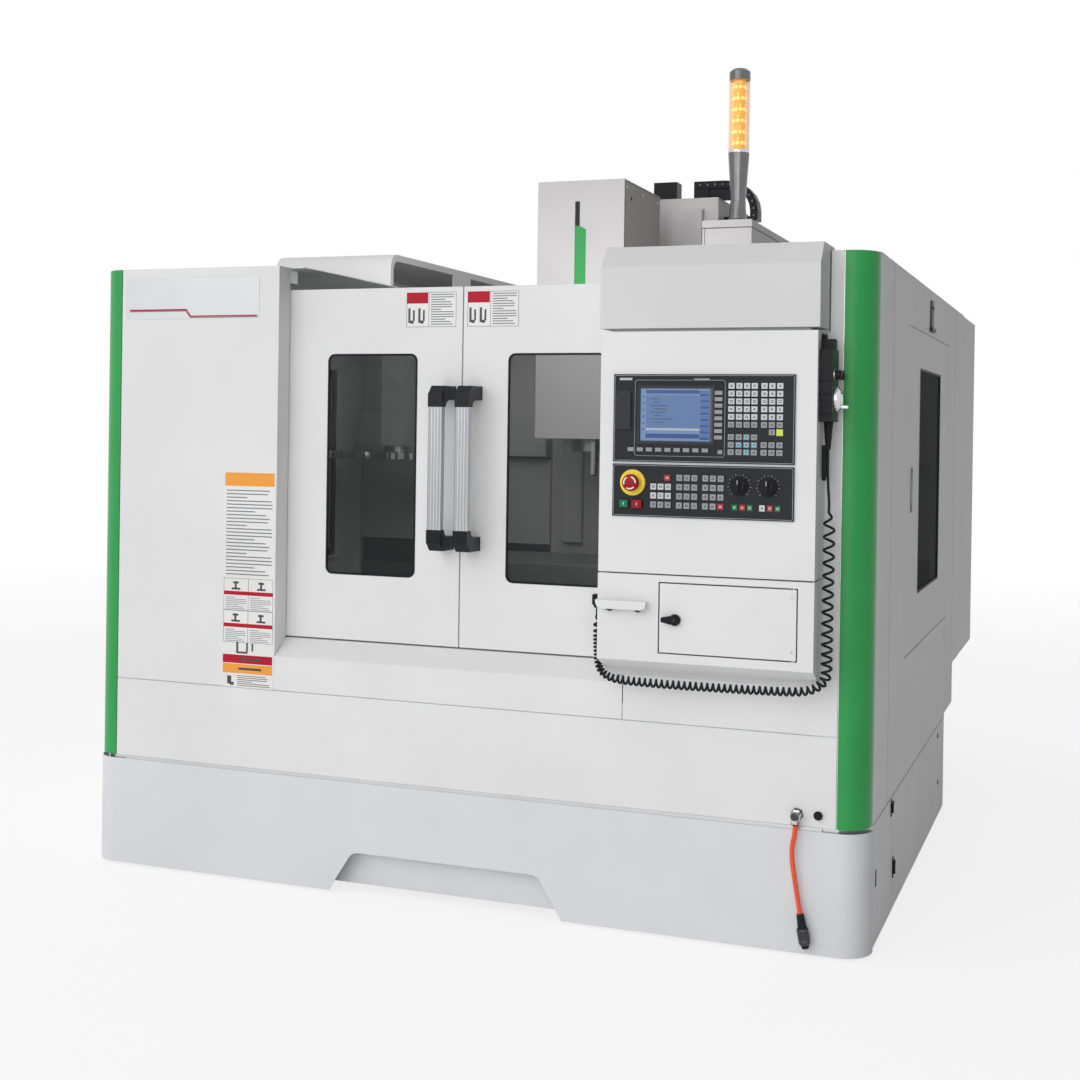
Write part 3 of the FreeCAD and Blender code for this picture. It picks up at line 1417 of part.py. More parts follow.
def magazine_carriage():
    """Slide of the magazine: plate on the arm's rail, arm to the disc, shaft and drive."""
    x, y = dim.magazine_park, back(dim.spindle_depth)
    arm_back = back(dim.column_front - 80)
    rail_front = arm_back - 72
    arm = dim.arm_bottom
    low, high = arm - 30, arm + dim.arm_height + 30
    slab = box("carriage_plate", (x - 180, x + 40), (rail_front - 30, rail_front - dim.slide_gap),
               (low, high))
    bridge = box("carriage_bridge", (x - 100, x + 40), (y - 120, rail_front - 29), (arm + 30, arm + 75))
    housing = box("carriage_housing", (x - 40, x + 40), (y - 40, y + 40), (dim.disc_bottom + 41, arm + 35))
    shaft = rod("carriage_shaft", "z", (x, y, dim.disc_bottom + 6), 19.9, 60)
    motor = box("carriage_motor", (x - 65, x + 15), (y - 130, y - 50), (arm + 70, arm + 180))
    return node("magazine_carriage", fuse("carriage", slab, bridge, housing, shaft, motor))


# ---------------------------------------------------------------- duct, beacon, pendant, air line

def cable_duct():
    """Raised cable duct from the electrical cabinet to the pod's side of the roof."""
    left, right = dim.duct_left, dim.duct_left + dim.duct_width
    low = dim.shell_height + skin
    front, rear = back(dim.duct_front), back(dim.cabinet_front)
    outline = rectangle(left, low, right, dim.duct_top)
    inside = rectangle(left + skin, low + skin, right - skin, dim.duct_top - skin)
    body = new_body("cable_duct")
    pad(body, "XZ", outline, front, rear)
    pocket(body, "XZ", inside, front + skin, rear - skin)
    return node("cable_duct", body)


def link_chain(route):
    """Blocks set end to end along a run of points from the column's top right edge: a cable carrier."""
    edge = Vector(number(dim.column_width / 2), number(back(dim.carrier_depth)), number(dim.column_top))
    links = []
    for (x, z), (next_x, next_z) in zip(route, route[1:]):
        link = doc.addObject("Part::Box", "carrier_link")
        bind(link, "Length", math.hypot(next_x - x, next_z - z) + 2)
        bind(link, "Width", LINK_WIDE)
        bind(link, "Height", LINK_TALL)
        slope = math.atan2(next_z - z, next_x - x)
        turn = Rotation(Vector(0, 1, 0), -math.degrees(slope))
        corner = turn.multVec(Vector(0, 0, -LINK_TALL / 2))
        link.Placement = FreeCAD.Placement(edge + Vector(x, 0, z) + corner, turn)
        links.append(link)
    return links


def cable_carriers():
    """Cable carrier that bows over the column's right edge, its two brackets, and a small junction box."""
    along = (back(dim.carrier_depth), back(dim.carrier_depth) + LINK_WIDE)
    side, top = dim.column_width / 2, dim.column_top
    upper = box("carrier_foot", (side - 107, side - 55), along, (top, top + 43))
    lower = box("carrier_arm", (side, side + 114), along, (top - 70, top - 56))
    chain = fuse("carrier_chain", *link_chain(CHAIN_ROUTE), upper, lower)
    junction = box("junction_box", (side - 249, side - 167), along, (top, top + 70))
    return node("cable_carriers", group("carrier_group", chain, junction))


def beacon():
    """Signal tower: foot with chromed taper, amber lens, cap."""
    radius = dim.beacon_radius
    foot, taper = dim.beacon_foot_height, dim.beacon_taper_height
    lens, cap = dim.beacon_lens_height, dim.beacon_cap_height
    top = foot + taper
    spot = Vector(number(dim.beacon_x), number(back(dim.beacon_depth)), number(dim.duct_top))
    up = Vector(0, 0, 1)
    lower = faceted("beacon_foot", spot, up, BEACON_SIDES,
                    ((21, 0), (21, foot), (radius, top - 14), (radius, top)))
    upper = faceted("beacon_cap", spot, up, BEACON_SIDES,
                    ((radius, top + lens), (radius, top + lens + cap - 8), (radius - 9, top + lens + cap)))
    node("beacon_pole", group("beacon_group", lower, upper))
    node("beacon_lens", faceted("beacon_lens", spot, up, BEACON_SIDES,
                                ((radius - 0.5, top), (radius - 0.5, top + lens))))


def pendant():
    """Hand pendant that hangs on the pod's right side: body with two selectors, and handwheel."""
    left = pod_right + 2
    right = left + dim.pendant_thick
    low, high = dim.pendant_bottom, dim.pendant_bottom + dim.pendant_height
    wide = dim.pendant_width / 2
    middle = back(dim.pendant_depth)
    body = new_body("pendant_case")
    pad(body, "YZ", rectangle(middle - wide, low, middle + wide, high - dim.slide_gap), left, right)
    pieces = [body]
    for sign in (-1, 1):
        pieces.append(prism("selector", "x", (right - 1, middle + sign * 18, high - 56), 8,
                            9, 14))
    foot = Vector(number(left + dim.pendant_thick / 2), number(middle), number(low) - PLAIN_TOP_DROP)
    relief = faceted("strain_relief", foot, Vector(0, 0, 1), 8, ((5, 0), (9, PLAIN_TOP_DROP + 1)))
    pieces.append(relief)
    hub_hole = rod("wheel_hole", "x", (right - 12, middle, dim.wheel_height), 5.05, 14)
    node("pendant_body", cut("pendant_cut", fuse("pendant_fuse", *pieces), hub_hole))
    dial = prism("wheel_dial", "x", (right + 1, middle, dim.wheel_height), 24, dim.wheel_radius, 12)
    axle = rod("wheel_axle", "x", (right - 10, middle, dim.wheel_height), 5, 12)
    crank = prism("wheel_crank", "x", (right + 12, middle, dim.wheel_height - 17), 8, 5, 20)
    node("pendant_wheel", fuse("wheel", dial, axle, crank))


def path_wire(points, share=0.45):
    """Straight runs joined by tangent arcs; each radius is as large as its runs allow."""
    edges, radii, start = [], [], points[0]
    for i in range(1, len(points) - 1):
        before, corner, after = points[i - 1], points[i], points[i + 1]
        into, out = (before - corner), (after - corner)
        trim = share * min(into.Length, out.Length)
        bend = math.pi - into.getAngle(out)
        radii.append(trim / math.tan(bend / 2))
        into.normalize()
        out.normalize()
        first, last = corner + into * trim, corner + out * trim
        inward = (into + out).normalize()
        centre = corner + inward * (radii[-1] / math.cos(bend / 2))
        middle = centre - inward * radii[-1]
        edges.append(Part.LineSegment(start, first).toShape())
        edges.append(Part.Arc(first, middle, last).toShape())
        start = last
    edges.append(Part.LineSegment(start, points[-1]).toShape())
    return Part.Wire(edges), radii


def tube_along(points, radius, label):
    """A round tube on a path of runs and arcs; its volume is compared with section times length."""
    wire, radii = path_wire(points)
    along = (points[1] - points[0]).normalize()
    across = Vector(0, 1, 0) if abs(along.y) < 0.5 else Vector(1, 0, 0)
    side = along.cross(across).normalize()
    step = 2 * math.pi / TUBE_SIDES
    ring = [points[0] + side * (radius * math.cos(i * step)) + across * (radius * math.sin(i * step))
            for i in range(TUBE_SIDES)]
    tube = wire.makePipeShell([Part.makePolygon(ring + ring[:1])], True, False)
    expected = TUBE_SIDES / 2 * math.sin(step) * radius ** 2 * wire.Length
    print(f"{label}: length {wire.Length:.0f} mm, smallest radius {min(radii):.1f} mm, "
          f"volume {tube.Volume / expected:.4f} of section times length")
    return tube


def air_line():
    """Elbow fitting on the base, orange hose and the coupler that hangs from it."""
    face = back(0)
    nut = prism("fitting_nut", "y", (dim.air_x, face - 12, dim.air_height), 6, 13, 12)
    stem = prism("fitting_stem", "y", (dim.air_x, face - ELBOW_OUT, dim.air_height), 8, 8, 12)
    leg = prism("fitting_leg", "z", (dim.air_x, face - ELBOW_OUT, dim.air_height - 18), 6, 10, 27)
    node("air_fitting", fuse("fitting", nut, stem, leg))
    x, y, z = number(dim.air_x), number(face) - ELBOW_OUT, number(dim.air_height)
    points = [Vector(x + right, y, z + up) for right, up in HOSE_ROUTE]
    hose = doc.addObject("Part::Feature", "air_hose")
    hose.Shape = tube_along(points, number(dim.hose_radius), "air hose")
    node("air_hose", hose)
    end = points[-1]
    direction = (end - points[-2]).normalize()
    rings = ((8, 0), (13.5, 14), (13.5, 62), (9, 66), (9, 78))
    node("air_coupler", faceted("air_coupler", end, direction, 12, rings))


# ---------------------------------------------------------------- curly cord


def cord_route():
    """Centre line of the open curls: plain end under the pendant, then down the pod's right side."""
    y = number(back(dim.pendant_depth))
    right = number(pod_right + 2 + dim.pendant_thick / 2)
    start = number(dim.pendant_bottom) - PLAIN_TOP_DROP
    foot = number(dim.pod_back_bottom) - 2
    return [Vector(right, y, start), Vector(right, y, start - 70), Vector(right + 6, y, start - 150),
            Vector(right + 4, y, foot + 150), Vector(right + 4, y, foot + 60)]


def dense_route():
    """Centre line where the curls lie close: round the pod's right foot, along it, up its left side."""
    y = number(back(dim.pendant_depth))
    right = number(pod_right + 2 + dim.pendant_thick / 2) + 4
    left = number(dim.pod_left) - CORD_OUT
    foot = number(dim.pod_back_bottom) - 2
    return [Vector(right, y, foot + 60), Vector(right, y, foot + 34), Vector(right - 28, y, foot + 6),
            Vector(right - 90, y, foot - 2), Vector(left + 75, y, foot - 5),
            Vector(left + 10, y, foot + 8), Vector(left, y, foot + 62),
            Vector(left, y, number(dim.socket_height))]


def between(table, share):
    """Reads a table of (share, value) at a share, with straight lines between its rows."""
    for (low, first), (high, second) in zip(table, table[1:]):
        if share <= high:
            return first + (second - first) * (share - low) / (high - low)
    return table[-1][1]


def at_distance(wire, distance):
    """The point and the direction at a distance along a wire."""
    edges = wire.OrderedEdges
    for edge in edges:
        if distance <= edge.Length or edge is edges[-1]:
            way = edge.getParameterByLength(min(max(distance, 0), edge.Length))
            return edge.valueAt(way), edge.tangentAt(way)
        distance -= edge.Length
    return None


def coil_points(wire, start, stop):
    """Points of the coil at even steps of turn; its pitch and radius follow the two tables."""
    slices = 2000
    phase = [0.0]
    for i in range(slices):
        phase.append(phase[-1] + 1 / between(COIL_PITCH, (i + 0.5) / slices))
    count = OPEN_CURLS * FINE_STEPS
    across = Vector(0, 1, 0)
    points, i = [], 0
    for step in range(count + 1):
        goal = phase[-1] * step / count
        while i < slices - 1 and phase[i + 1] < goal:
            i += 1
        share = (i + (goal - phase[i]) / (phase[i + 1] - phase[i])) / slices
        centre, direction = at_distance(wire, start + share * (stop - start))
        ease = min(1.0, min(step, count - step) / FINE_STEPS)
        radius = between(COIL_RADIUS, share) * ease
        turn = 2 * math.pi * step / FINE_STEPS
        side = across.cross(direction).normalize()
        points.append(centre + side * (radius * math.cos(turn)) + across * (radius * math.sin(turn)))
    return points


def biarc(start, start_way, stop, stop_way):
    """Two tangent arcs between two points with given directions."""
    chord = stop - start
    a = 2 * (start_way.dot(stop_way) - 1)
    b = -2 * chord.dot(start_way + stop_way)
    c = chord.dot(chord)
    if abs(a) < 1e-9:
        reach = -c / b
    else:
        root = math.sqrt(b * b - 4 * a * c)
        reach = min(r for r in ((-b + root) / (2 * a), (-b - root) / (2 * a)) if r > 0)
    first, second = start + start_way * reach, stop - stop_way * reach
    joint = (first + second) * 0.5
    return [arc_to(start, first, joint), arc_to(joint, second, stop)]


def arc_to(start, knee, stop):
    """The arc from start to stop that touches the lines from both to a knee."""
    middle = (start + stop) * 0.5
    rise = (knee - middle).Length
    if rise < 1e-6:
        return Part.LineSegment(start, stop).toShape()
    half_chord = (stop - start).Length / 2
    turn = math.atan2(rise, half_chord)
    peak = middle + (knee - middle).normalize() * (half_chord * math.tan(turn / 2))
    return Part.Arc(start, peak, stop).toShape()


def edges_up_to(wire, distance):
    """A wire's own edges up to a distance along it."""
    kept = []
    for edge in wire.OrderedEdges:
        if edge.Length > distance:
            low = edge.getParameterByLength(0)
            kept.append(edge.Curve.toShape(low, edge.getParameterByLength(distance)))
            break
        kept.append(edge)
        distance -= edge.Length
    return kept


def least_gap(path, thickness):
    """Smallest clear distance between stretches of the wire that lie some thicknesses apart."""
    step = 1.5
    points = path.discretize(Distance=step)
    apart = int(3 * thickness / step)
    reach = 90
    least = min(points[i].distanceToPoint(points[j])
                for i in range(len(points)) for j in range(i + apart, min(i + reach, len(points))))
    return least - thickness


def curly_cord():
    """One unbroken tube: plain end, open curls that close up towards the foot; then the dense run."""
    wire, radii = path_wire(cord_route())
    start, stop = PLAIN_LENGTH + LEAD, wire.Length - LEAD
    fine = coil_points(wire, start, stop)
    jump = FINE_STEPS // 2
    knots = [at_distance(wire, PLAIN_LENGTH)]
    for i in range(0, len(fine), jump):
        ahead, behind = fine[min(i + 1, len(fine) - 1)], fine[max(i - 1, 0)]
        knots.append((fine[i], (ahead - behind).normalize()))
    lead_out, last = at_distance(wire, wire.Length - 7), at_distance(wire, wire.Length)
    knots.append(lead_out)
    edges = edges_up_to(wire, PLAIN_LENGTH)
    for (here, way), (after, next_way) in zip(knots, knots[1:]):
        edges += biarc(here, way, after, next_way)
    edges.append(Part.LineSegment(lead_out[0], last[0]).toShape())
    path = Part.Wire(edges)
    section = math.pi * number(dim.cord_wire) ** 2
    reach = math.sqrt(section / 2)
    first = cord_route()[0]
    corners = [first + Vector(math.cos(turn), math.sin(turn), 0) * reach
               for turn in (math.pi / 4 + math.pi / 2 * i for i in range(5))]
    tube = path.makePipeShell([Part.makePolygon(corners)], True, False)
    share = tube.Volume / (section * path.Length)
    print(f"curly cord: {OPEN_CURLS} open curls, {path.Length:.0f} mm of wire, "
          f"least gap to itself {least_gap(path, 2 * number(dim.cord_wire)):.2f} mm, "
          f"smallest route radius {min(radii):.1f} mm, volume {share:.4f} of section times length")
    cord = doc.addObject("Part::Feature", "curly_cord")
    cord.Shape = tube
    node("curly_cord", cord)
    dense = doc.addObject("Part::Feature", "cord_dense_run")
    dense.Shape = tube_along(dense_route(), DENSE_RADIUS, "dense curls")
    node("cord_dense_run", dense)


# ---------------------------------------------------------------- build and export

base_front_panel()
corner_columns()
side_wall("left_side_wall", -1)
side_wall("right_side_wall", 1)
front_left_panel()
front_right_panel()
front_lower_panel()
front_sill_panel()
roof_panels()
enclosure_frame()
magazine_cover()
chamber_linings()
electrical_cabinet()
cabinet_door("cabinet_door_left", -1)
cabinet_door("cabinet_door_right", 1)
front_door(-1)
front_door(1)
side_door(-1)
side_door(1)
control_box()
control_hood()
control_lower_box()
operator_panels()
panel_keys()
panel_controls()
service_door()
bed_casting()
levelling_feet()
column()
saddle()
way_cover_middle()
table()
head_casting()
head_cover()
spindle()
tool_carousel()
magazine_carriage()
cable_duct()
cable_carriers()
beacon()
pendant()
air_line()
curly_cord()
doc.recompute()

failed = [o.Label for o in doc.Objects if "Invalid" in o.State or "Error" in o.State]
for name, thing in NODES.items():
    if thing.Shape.isNull() or not thing.Shape.isValid():
        failed.append(name)
if failed:
    raise RuntimeError("these objects failed: " + ", ".join(failed))

os.makedirs("parts", exist_ok=True)
for name, thing in NODES.items():
    thing.Shape.exportStep(f"parts/{name}.step")
print(len(NODES), "nodes written")
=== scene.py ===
# %% [markdown]
# The machining centre's CAD parts come in as a fixed frame. The notebook dresses them: sheet metal
# gets paint and soft edges, bars get flutes, panels get keys, and cords get their curls. All sizes
# are in millimetres from the drawing and are turned into metres by one function.

# %% Load the frame
import json
import math
import bpy
import bmesh
from mathutils import Matrix, Vector

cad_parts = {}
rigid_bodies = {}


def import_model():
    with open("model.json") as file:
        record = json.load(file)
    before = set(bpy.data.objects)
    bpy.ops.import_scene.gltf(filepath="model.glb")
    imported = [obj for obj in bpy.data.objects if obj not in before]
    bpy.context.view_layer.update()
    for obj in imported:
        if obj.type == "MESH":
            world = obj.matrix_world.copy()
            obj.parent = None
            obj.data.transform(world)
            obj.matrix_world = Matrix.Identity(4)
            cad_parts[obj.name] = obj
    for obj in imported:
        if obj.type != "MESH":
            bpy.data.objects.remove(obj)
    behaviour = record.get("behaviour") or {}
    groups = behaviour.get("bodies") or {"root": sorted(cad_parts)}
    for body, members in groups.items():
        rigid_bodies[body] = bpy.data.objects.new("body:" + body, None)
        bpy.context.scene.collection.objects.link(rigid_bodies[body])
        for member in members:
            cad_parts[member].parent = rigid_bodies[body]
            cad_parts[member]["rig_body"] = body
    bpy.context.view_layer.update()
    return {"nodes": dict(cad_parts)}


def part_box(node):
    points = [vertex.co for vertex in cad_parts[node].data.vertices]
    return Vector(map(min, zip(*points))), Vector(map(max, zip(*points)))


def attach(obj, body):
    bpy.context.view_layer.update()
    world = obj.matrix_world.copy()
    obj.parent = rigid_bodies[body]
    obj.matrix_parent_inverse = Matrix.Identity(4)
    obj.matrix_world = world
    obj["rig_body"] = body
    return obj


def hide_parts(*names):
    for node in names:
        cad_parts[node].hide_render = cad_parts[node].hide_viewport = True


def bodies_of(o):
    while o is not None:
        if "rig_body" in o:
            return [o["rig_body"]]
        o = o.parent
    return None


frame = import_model()

# %% [markdown]
# Helpers. A point of the drawing is given as distance right of the middle, depth behind the front
# plane and height above the floor. Boxes, bars and turned pieces are built as meshes, so each can
# have rounded edges and its own finish.

# %% Drawing points and mesh helpers
FRONT = 1150
METRE = 1000


def at(x, depth, z):
    """A point of the drawing in metres."""
    return Vector((x, depth - FRONT, z)) / METRE


def edges_of(node):
    """A CAD node's left, right, front, rear, bottom and top on the drawing."""
    low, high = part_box(node)
    return (low.x * METRE, high.x * METRE, low.y * METRE + FRONT, high.y * METRE + FRONT,
            low.z * METRE, high.z * METRE)


def body_of(node):
    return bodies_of(frame["nodes"][node])[0]


def finish_mesh(name, bm, material, body, edge=0.0, smooth=35, turn_out=True):
    """Turns a bmesh into a piece with rounded edges that rides on a body."""
    if turn_out:
        bmesh.ops.recalc_face_normals(bm, faces=bm.faces)
    mesh = bpy.data.meshes.new(name)
    bm.to_mesh(mesh)
    bm.free()
    thing = bpy.data.objects.new(name, mesh)
    bpy.context.collection.objects.link(thing)
    materials = material if isinstance(material, (list, tuple)) else [material]
    for one in materials:
        mesh.materials.append(one)
    mesh.polygons.foreach_set("use_smooth", [True] * len(mesh.polygons))
    mesh.set_sharp_from_angle(angle=math.radians(smooth))
    if edge:
        bevel = thing.modifiers.new("rounded edges", "BEVEL")
        bevel.width = edge / METRE
        bevel.segments = 2
        bevel.limit_method = "ANGLE"
        bevel.angle_limit = math.radians(32)
        bevel.harden_normals = True
    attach(thing, body)
    return thing


def dress(node, material, edge):
    """The CAD node's own shape with merged flats, rounded edges and a finish."""
    bm = bmesh.new()
    bm.from_mesh(frame["nodes"][node].data)
    bmesh.ops.remove_doubles(bm, verts=bm.verts, dist=1e-5)
    bmesh.ops.dissolve_limit(bm, angle_limit=math.radians(1), verts=bm.verts, edges=bm.edges)
    thing = finish_mesh(node + "_dressed", bm, material, body_of(node), edge, turn_out=False)
    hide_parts(node)


def give_material(faces, index):
    for face in faces:
        face.material_index = index


def add_box(bm, low, high, index=0):
    """A box between two drawing points."""
    low, high = at(*low), at(*high)
    middle, size = (low + high) / 2, high - low
    matrix = Matrix.Translation(middle) @ Matrix.Diagonal((*size, 1))
    made = bmesh.ops.create_cube(bm, size=1, matrix=matrix)
    give_material({f for v in made["verts"] for f in v.link_faces}, index)


WAYS = {"x": Vector((1, 0, 0)), "y": Vector((0, 1, 0)), "z": Vector((0, 0, 1)),
        "-x": Vector((-1, 0, 0)), "-y": Vector((0, -1, 0)), "-z": Vector((0, 0, -1))}


def add_turned(bm, place, axis, profile, sides=32, index=0):
    """A turned piece: profile rows are (distance along the axis, radius), in mm."""
    along = WAYS[axis] if isinstance(axis, str) else axis.normalized()
    side = along.orthogonal().normalized()
    across = along.cross(side)
    start = at(*place)
    turns = [2 * math.pi * i / sides for i in range(sides)]
    ways_out = [side * math.cos(turn) + across * math.sin(turn) for turn in turns]
    rings = []
    for distance, radius in profile:
        centre = start + along * distance / METRE
        spots = [centre + way * radius / METRE for way in ways_out] if radius else [centre]
        rings.append([bm.verts.new(spot) for spot in spots])
    faces = []
    for low, high in zip(rings, rings[1:]):
        for i in range(sides):
            j = (i + 1) % sides
            corners = [low[i % len(low)], low[j % len(low)], high[j % len(high)],
                       high[i % len(high)]]
            unique = list(dict.fromkeys(corners))
            if len(unique) > 2:
                faces.append(bm.faces.new(unique))
    for ring, flip in ((rings[0], True), (rings[-1], False)):
        if len(ring) > 1:
            faces.append(bm.faces.new(list(reversed(ring)) if flip else ring))
    give_material(faces, index)


def point_across(axis, u, v, w):
    """The point at w along an axis, with u and v as its two other coordinates."""
    return {"x": at(w, u, v), "y": at(u, w, v), "z": at(u, v, w)}[axis]


def add_plate(bm, outline, axis, low, high, index=0):
    """A flat plate: its outline lies across the axis, and it runs from low to high along it."""
    bottom = [bm.verts.new(point_across(axis, u, v, low)) for u, v in outline]
    top = [bm.verts.new(point_across(axis, u, v, high)) for u, v in outline]
    faces = [bm.faces.new(bottom), bm.faces.new(list(reversed(top)))]
    for i in range(len(outline)):
        j = (i + 1) % len(outline)
        faces.append(bm.faces.new([bottom[i], bottom[j], top[j], top[i]]))
    give_material(faces, index)


def round_point(x, z, radius, turn):
    """The point of a circle round (x, z) at an angle."""
    return x + radius * math.cos(turn), z + radius * math.sin(turn)


def rounded(left, bottom, right, top, radius, steps=5):
    """Corner points of a rectangle with round corners."""
    centres = ((right - radius, top - radius, 0), (left + radius, top - radius, 90),
               (left + radius, bottom + radius, 180), (right - radius, bottom + radius, 270))
    points = []
    for x, z, start in centres:
        for i in range(steps + 1):
            points.append(round_point(x, z, radius, math.radians(start + 90 * i / steps)))
    return points


# %% [markdown]
# Finishes. Every finish is procedural. Powder coat has a fine orange-peel bump and a slow change of
# tone, castings are coarser, bars are brushed along their length, and rubber and film stay matte.
# Object coordinates in metres set the scale, so the grain has its real size on every piece.

# %% Finish maker
def set_inputs(node, values):
    """Gives a shader node's inputs plain values."""
    for key, value in values.items():
        node.inputs[key].default_value = value


def add_node(nodes, kind, values=None, **settings):
    """A shader node with its own settings and with plain values for its inputs."""
    node = nodes.new("ShaderNode" + kind)
    for key, value in settings.items():
        setattr(node, key, value)
    set_inputs(node, values or {})
    return node


def new_material(name, colour, rough, metal=0.0, slot=None):
    material = bpy.data.materials.new(name)
    if slot:
        material["slot"] = slot
    material.use_nodes = True
    nodes, links = material.node_tree.nodes, material.node_tree.links
    shader = nodes["Principled BSDF"]
    set_inputs(shader, {"Base Color": (*colour, 1), "Roughness": rough, "Metallic": metal})
    material.diffuse_color = (*colour, 1)
    return material, nodes, links, shader


def noise(nodes, links, size, detail=2, stretch=(1, 1, 1)):
    """Noise whose features are about size mm wide."""
    where = add_node(nodes, "TexCoord")
    scale = add_node(nodes, "Mapping", {"Scale": [s * METRE / size for s in stretch]})
    pattern = add_node(nodes, "TexNoise", {"Scale": 1, "Detail": detail})
    links.new(where.outputs["Object"], scale.inputs["Vector"])
    links.new(scale.outputs["Vector"], pattern.inputs["Vector"])
    return pattern.outputs["Fac"]


def vary_colour(nodes, links, shader, colour, fac, amount):
    """Lets the base colour move a little with a pattern."""
    ramp = add_node(nodes, "ValToRGB")
    ends = ((0.35, 1 - amount), (0.65, 1 + amount))
    for element, (position, factor) in zip(ramp.color_ramp.elements, ends):
        element.position = position
        element.color = (*[min(1, c * factor) for c in colour], 1)
    links.new(fac, ramp.inputs["Fac"])
    links.new(ramp.outputs["Color"], shader.inputs["Base Color"])


def vary_rough(nodes, links, shader, fac, low, high):
    span = add_node(nodes, "MapRange", {"To Min": low, "To Max": high})
    links.new(fac, span.inputs["Value"])
    links.new(span.outputs["Result"], shader.inputs["Roughness"])


def add_bump(nodes, links, shader, fac, depth):
    """Raises the surface by depth mm where the pattern is bright."""
    bump = add_node(nodes, "Bump", {"Strength": 0.6, "Distance": depth / METRE})
    links.new(fac, bump.inputs["Height"])
    links.new(bump.outputs["Normal"], shader.inputs["Normal"])


def finish(name, slot, colour, rough, metal=0.0, tone=0.03, patch=260, grain=1.6, depth=0.05,
           stretch=(1, 1, 1), gloss=0.5):
    """A finish with slow tone changes, a fine grain in bump and a little spread in gloss."""
    material, nodes, links, shader = new_material(name, colour, rough, metal, slot)
    set_inputs(shader, {"Specular IOR Level": gloss})
    vary_colour(nodes, links, shader, colour, noise(nodes, links, patch), tone)
    fine = noise(nodes, links, grain, 3, stretch)
    vary_rough(nodes, links, shader, fine, rough - 0.05, rough + 0.07)
    add_bump(nodes, links, shader, fine, depth)
    return material


# %% Paints, metals and plastics
PAINT, IRON, PLASTIC = "light_grey_paint", "machined_iron", "black_plastic"
UPRIGHT = (1, 1, 0.03)
white = finish("white powder coat", PAINT, (0.77, 0.77, 0.775), 0.48, tone=0.02, gloss=0.12)
base_paint = finish("cool grey powder coat", PAINT, (0.70, 0.715, 0.74), 0.48, tone=0.02,
                    gloss=0.16)
green = finish("green enamel", "green_paint", (0.027, 0.325, 0.078), 0.34, tone=0.05, depth=0.03,
               gloss=0.3)
casting = finish("painted casting", "grey_casting", (0.42, 0.43, 0.42), 0.5, tone=0.08, patch=90,
                 grain=5, depth=0.3)
# Its colour is replaced below by bands of painted light and shade.
chamber_light_and_shade = finish("chamber paint with painted light and shade", PAINT, (0.60, 0.61, 0.60), 0.4, tone=0.05, gloss=0.25)
# The head cover, column, cable duct and head casting take a darker copy of the shell's white paint:
# painted shade.
shaded_head_paint = finish("head cover paint with painted shade", PAINT, (0.60, 0.588, 0.588), 0.46, tone=0.03, gloss=0.16)
# The hood takes a darker copy of the shell's white powder coat: painted shade.
shaded_hood_paint = finish("hood powder coat with painted shade", PAINT, (0.655, 0.655, 0.66), 0.48, tone=0.02, gloss=0.16)
steel = finish("brushed stainless", "bare_steel", (0.60, 0.61, 0.62), 0.32, 1.0, grain=0.6,
               depth=0.01, stretch=(0.03, 1, 1))
ground = finish("ground iron", IRON, (0.40, 0.41, 0.41), 0.36, 1.0, patch=60, grain=0.8, depth=0.02,
                stretch=(0.05, 1, 1))
# Dark strips in the flutes of the handle bars: painted shade.
flute_shade = finish("painted shade in the flutes", "brushed_bar", (0.30, 0.31, 0.33), 0.35, 1.0,
                     grain=0.5, depth=0.01, stretch=UPRIGHT)
chrome = finish("polished chrome", "chrome", (0.62, 0.62, 0.63), 0.14, 1.0, tone=0.02, grain=8,
                depth=0.004)
dark_metal = finish("dark plated metal", "chrome", (0.07, 0.07, 0.075), 0.3, 1.0, grain=0.8,
                    depth=0.01)
satin = finish("satin turned steel", "chrome", (0.15, 0.15, 0.155), 0.22, 1.0, tone=0.05, patch=30,
               grain=0.5, depth=0.01, stretch=UPRIGHT)
fluted = finish("fluted aluminium", "brushed_bar", (0.55, 0.56, 0.58), 0.30, 1.0, grain=0.5,
                depth=0.01, stretch=UPRIGHT)
black = finish("black moulding", PLASTIC, (0.009, 0.009, 0.011), 0.36, grain=0.7, depth=0.04,
               gloss=0.14)
gloss_black = finish("glossy black moulding", PLASTIC, (0.006, 0.007, 0.012), 0.2, grain=1.5,
                     depth=0.01, gloss=0.2)
rubber = finish("black rubber", PLASTIC, (0.012, 0.012, 0.014), 0.55, grain=2.2, depth=0.05,
                gloss=0.14)
cord_skin = finish("black cord skin", "black_cord", (0.009, 0.010, 0.012), 0.38, tone=0.1, patch=25,
                   grain=1.2, depth=0.02, gloss=0.2)
slate = finish("slate front film", "slate_panel", (0.021, 0.022, 0.028), 0.5, tone=0.05, grain=0.5,
               depth=0.02, gloss=0.16)
slate_raised = finish("slate moulding", "slate_panel", (0.032, 0.034, 0.04), 0.5, grain=0.6,
                      depth=0.03, gloss=0.2)
pale_print = finish("pale panel print", "slate_panel", (0.46, 0.49, 0.52), 0.5, depth=0.01)
key_grey = finish("grey key cap", "key_white", (0.31, 0.32, 0.335), 0.5, grain=0.8, depth=0.02,
                  gloss=0.2)
key_white = finish("white key cap", "key_white", (0.60, 0.61, 0.62), 0.45, grain=0.8, depth=0.02,
                   gloss=0.2)
key_print = finish("dark key print", "key_white", (0.045, 0.05, 0.06), 0.55, grain=0.8, depth=0.01)
red = finish("red moulding", "red_plastic", (0.32, 0.005, 0.012), 0.3, tone=0.05, depth=0.02,
             gloss=0.2)
red_key = finish("red key cap", "red_plastic", (0.42, 0.035, 0.05), 0.42, tone=0.05, depth=0.02,
                 gloss=0.2)
yellow = finish("yellow moulding", "red_plastic", (0.84, 0.62, 0.02), 0.38, depth=0.02)
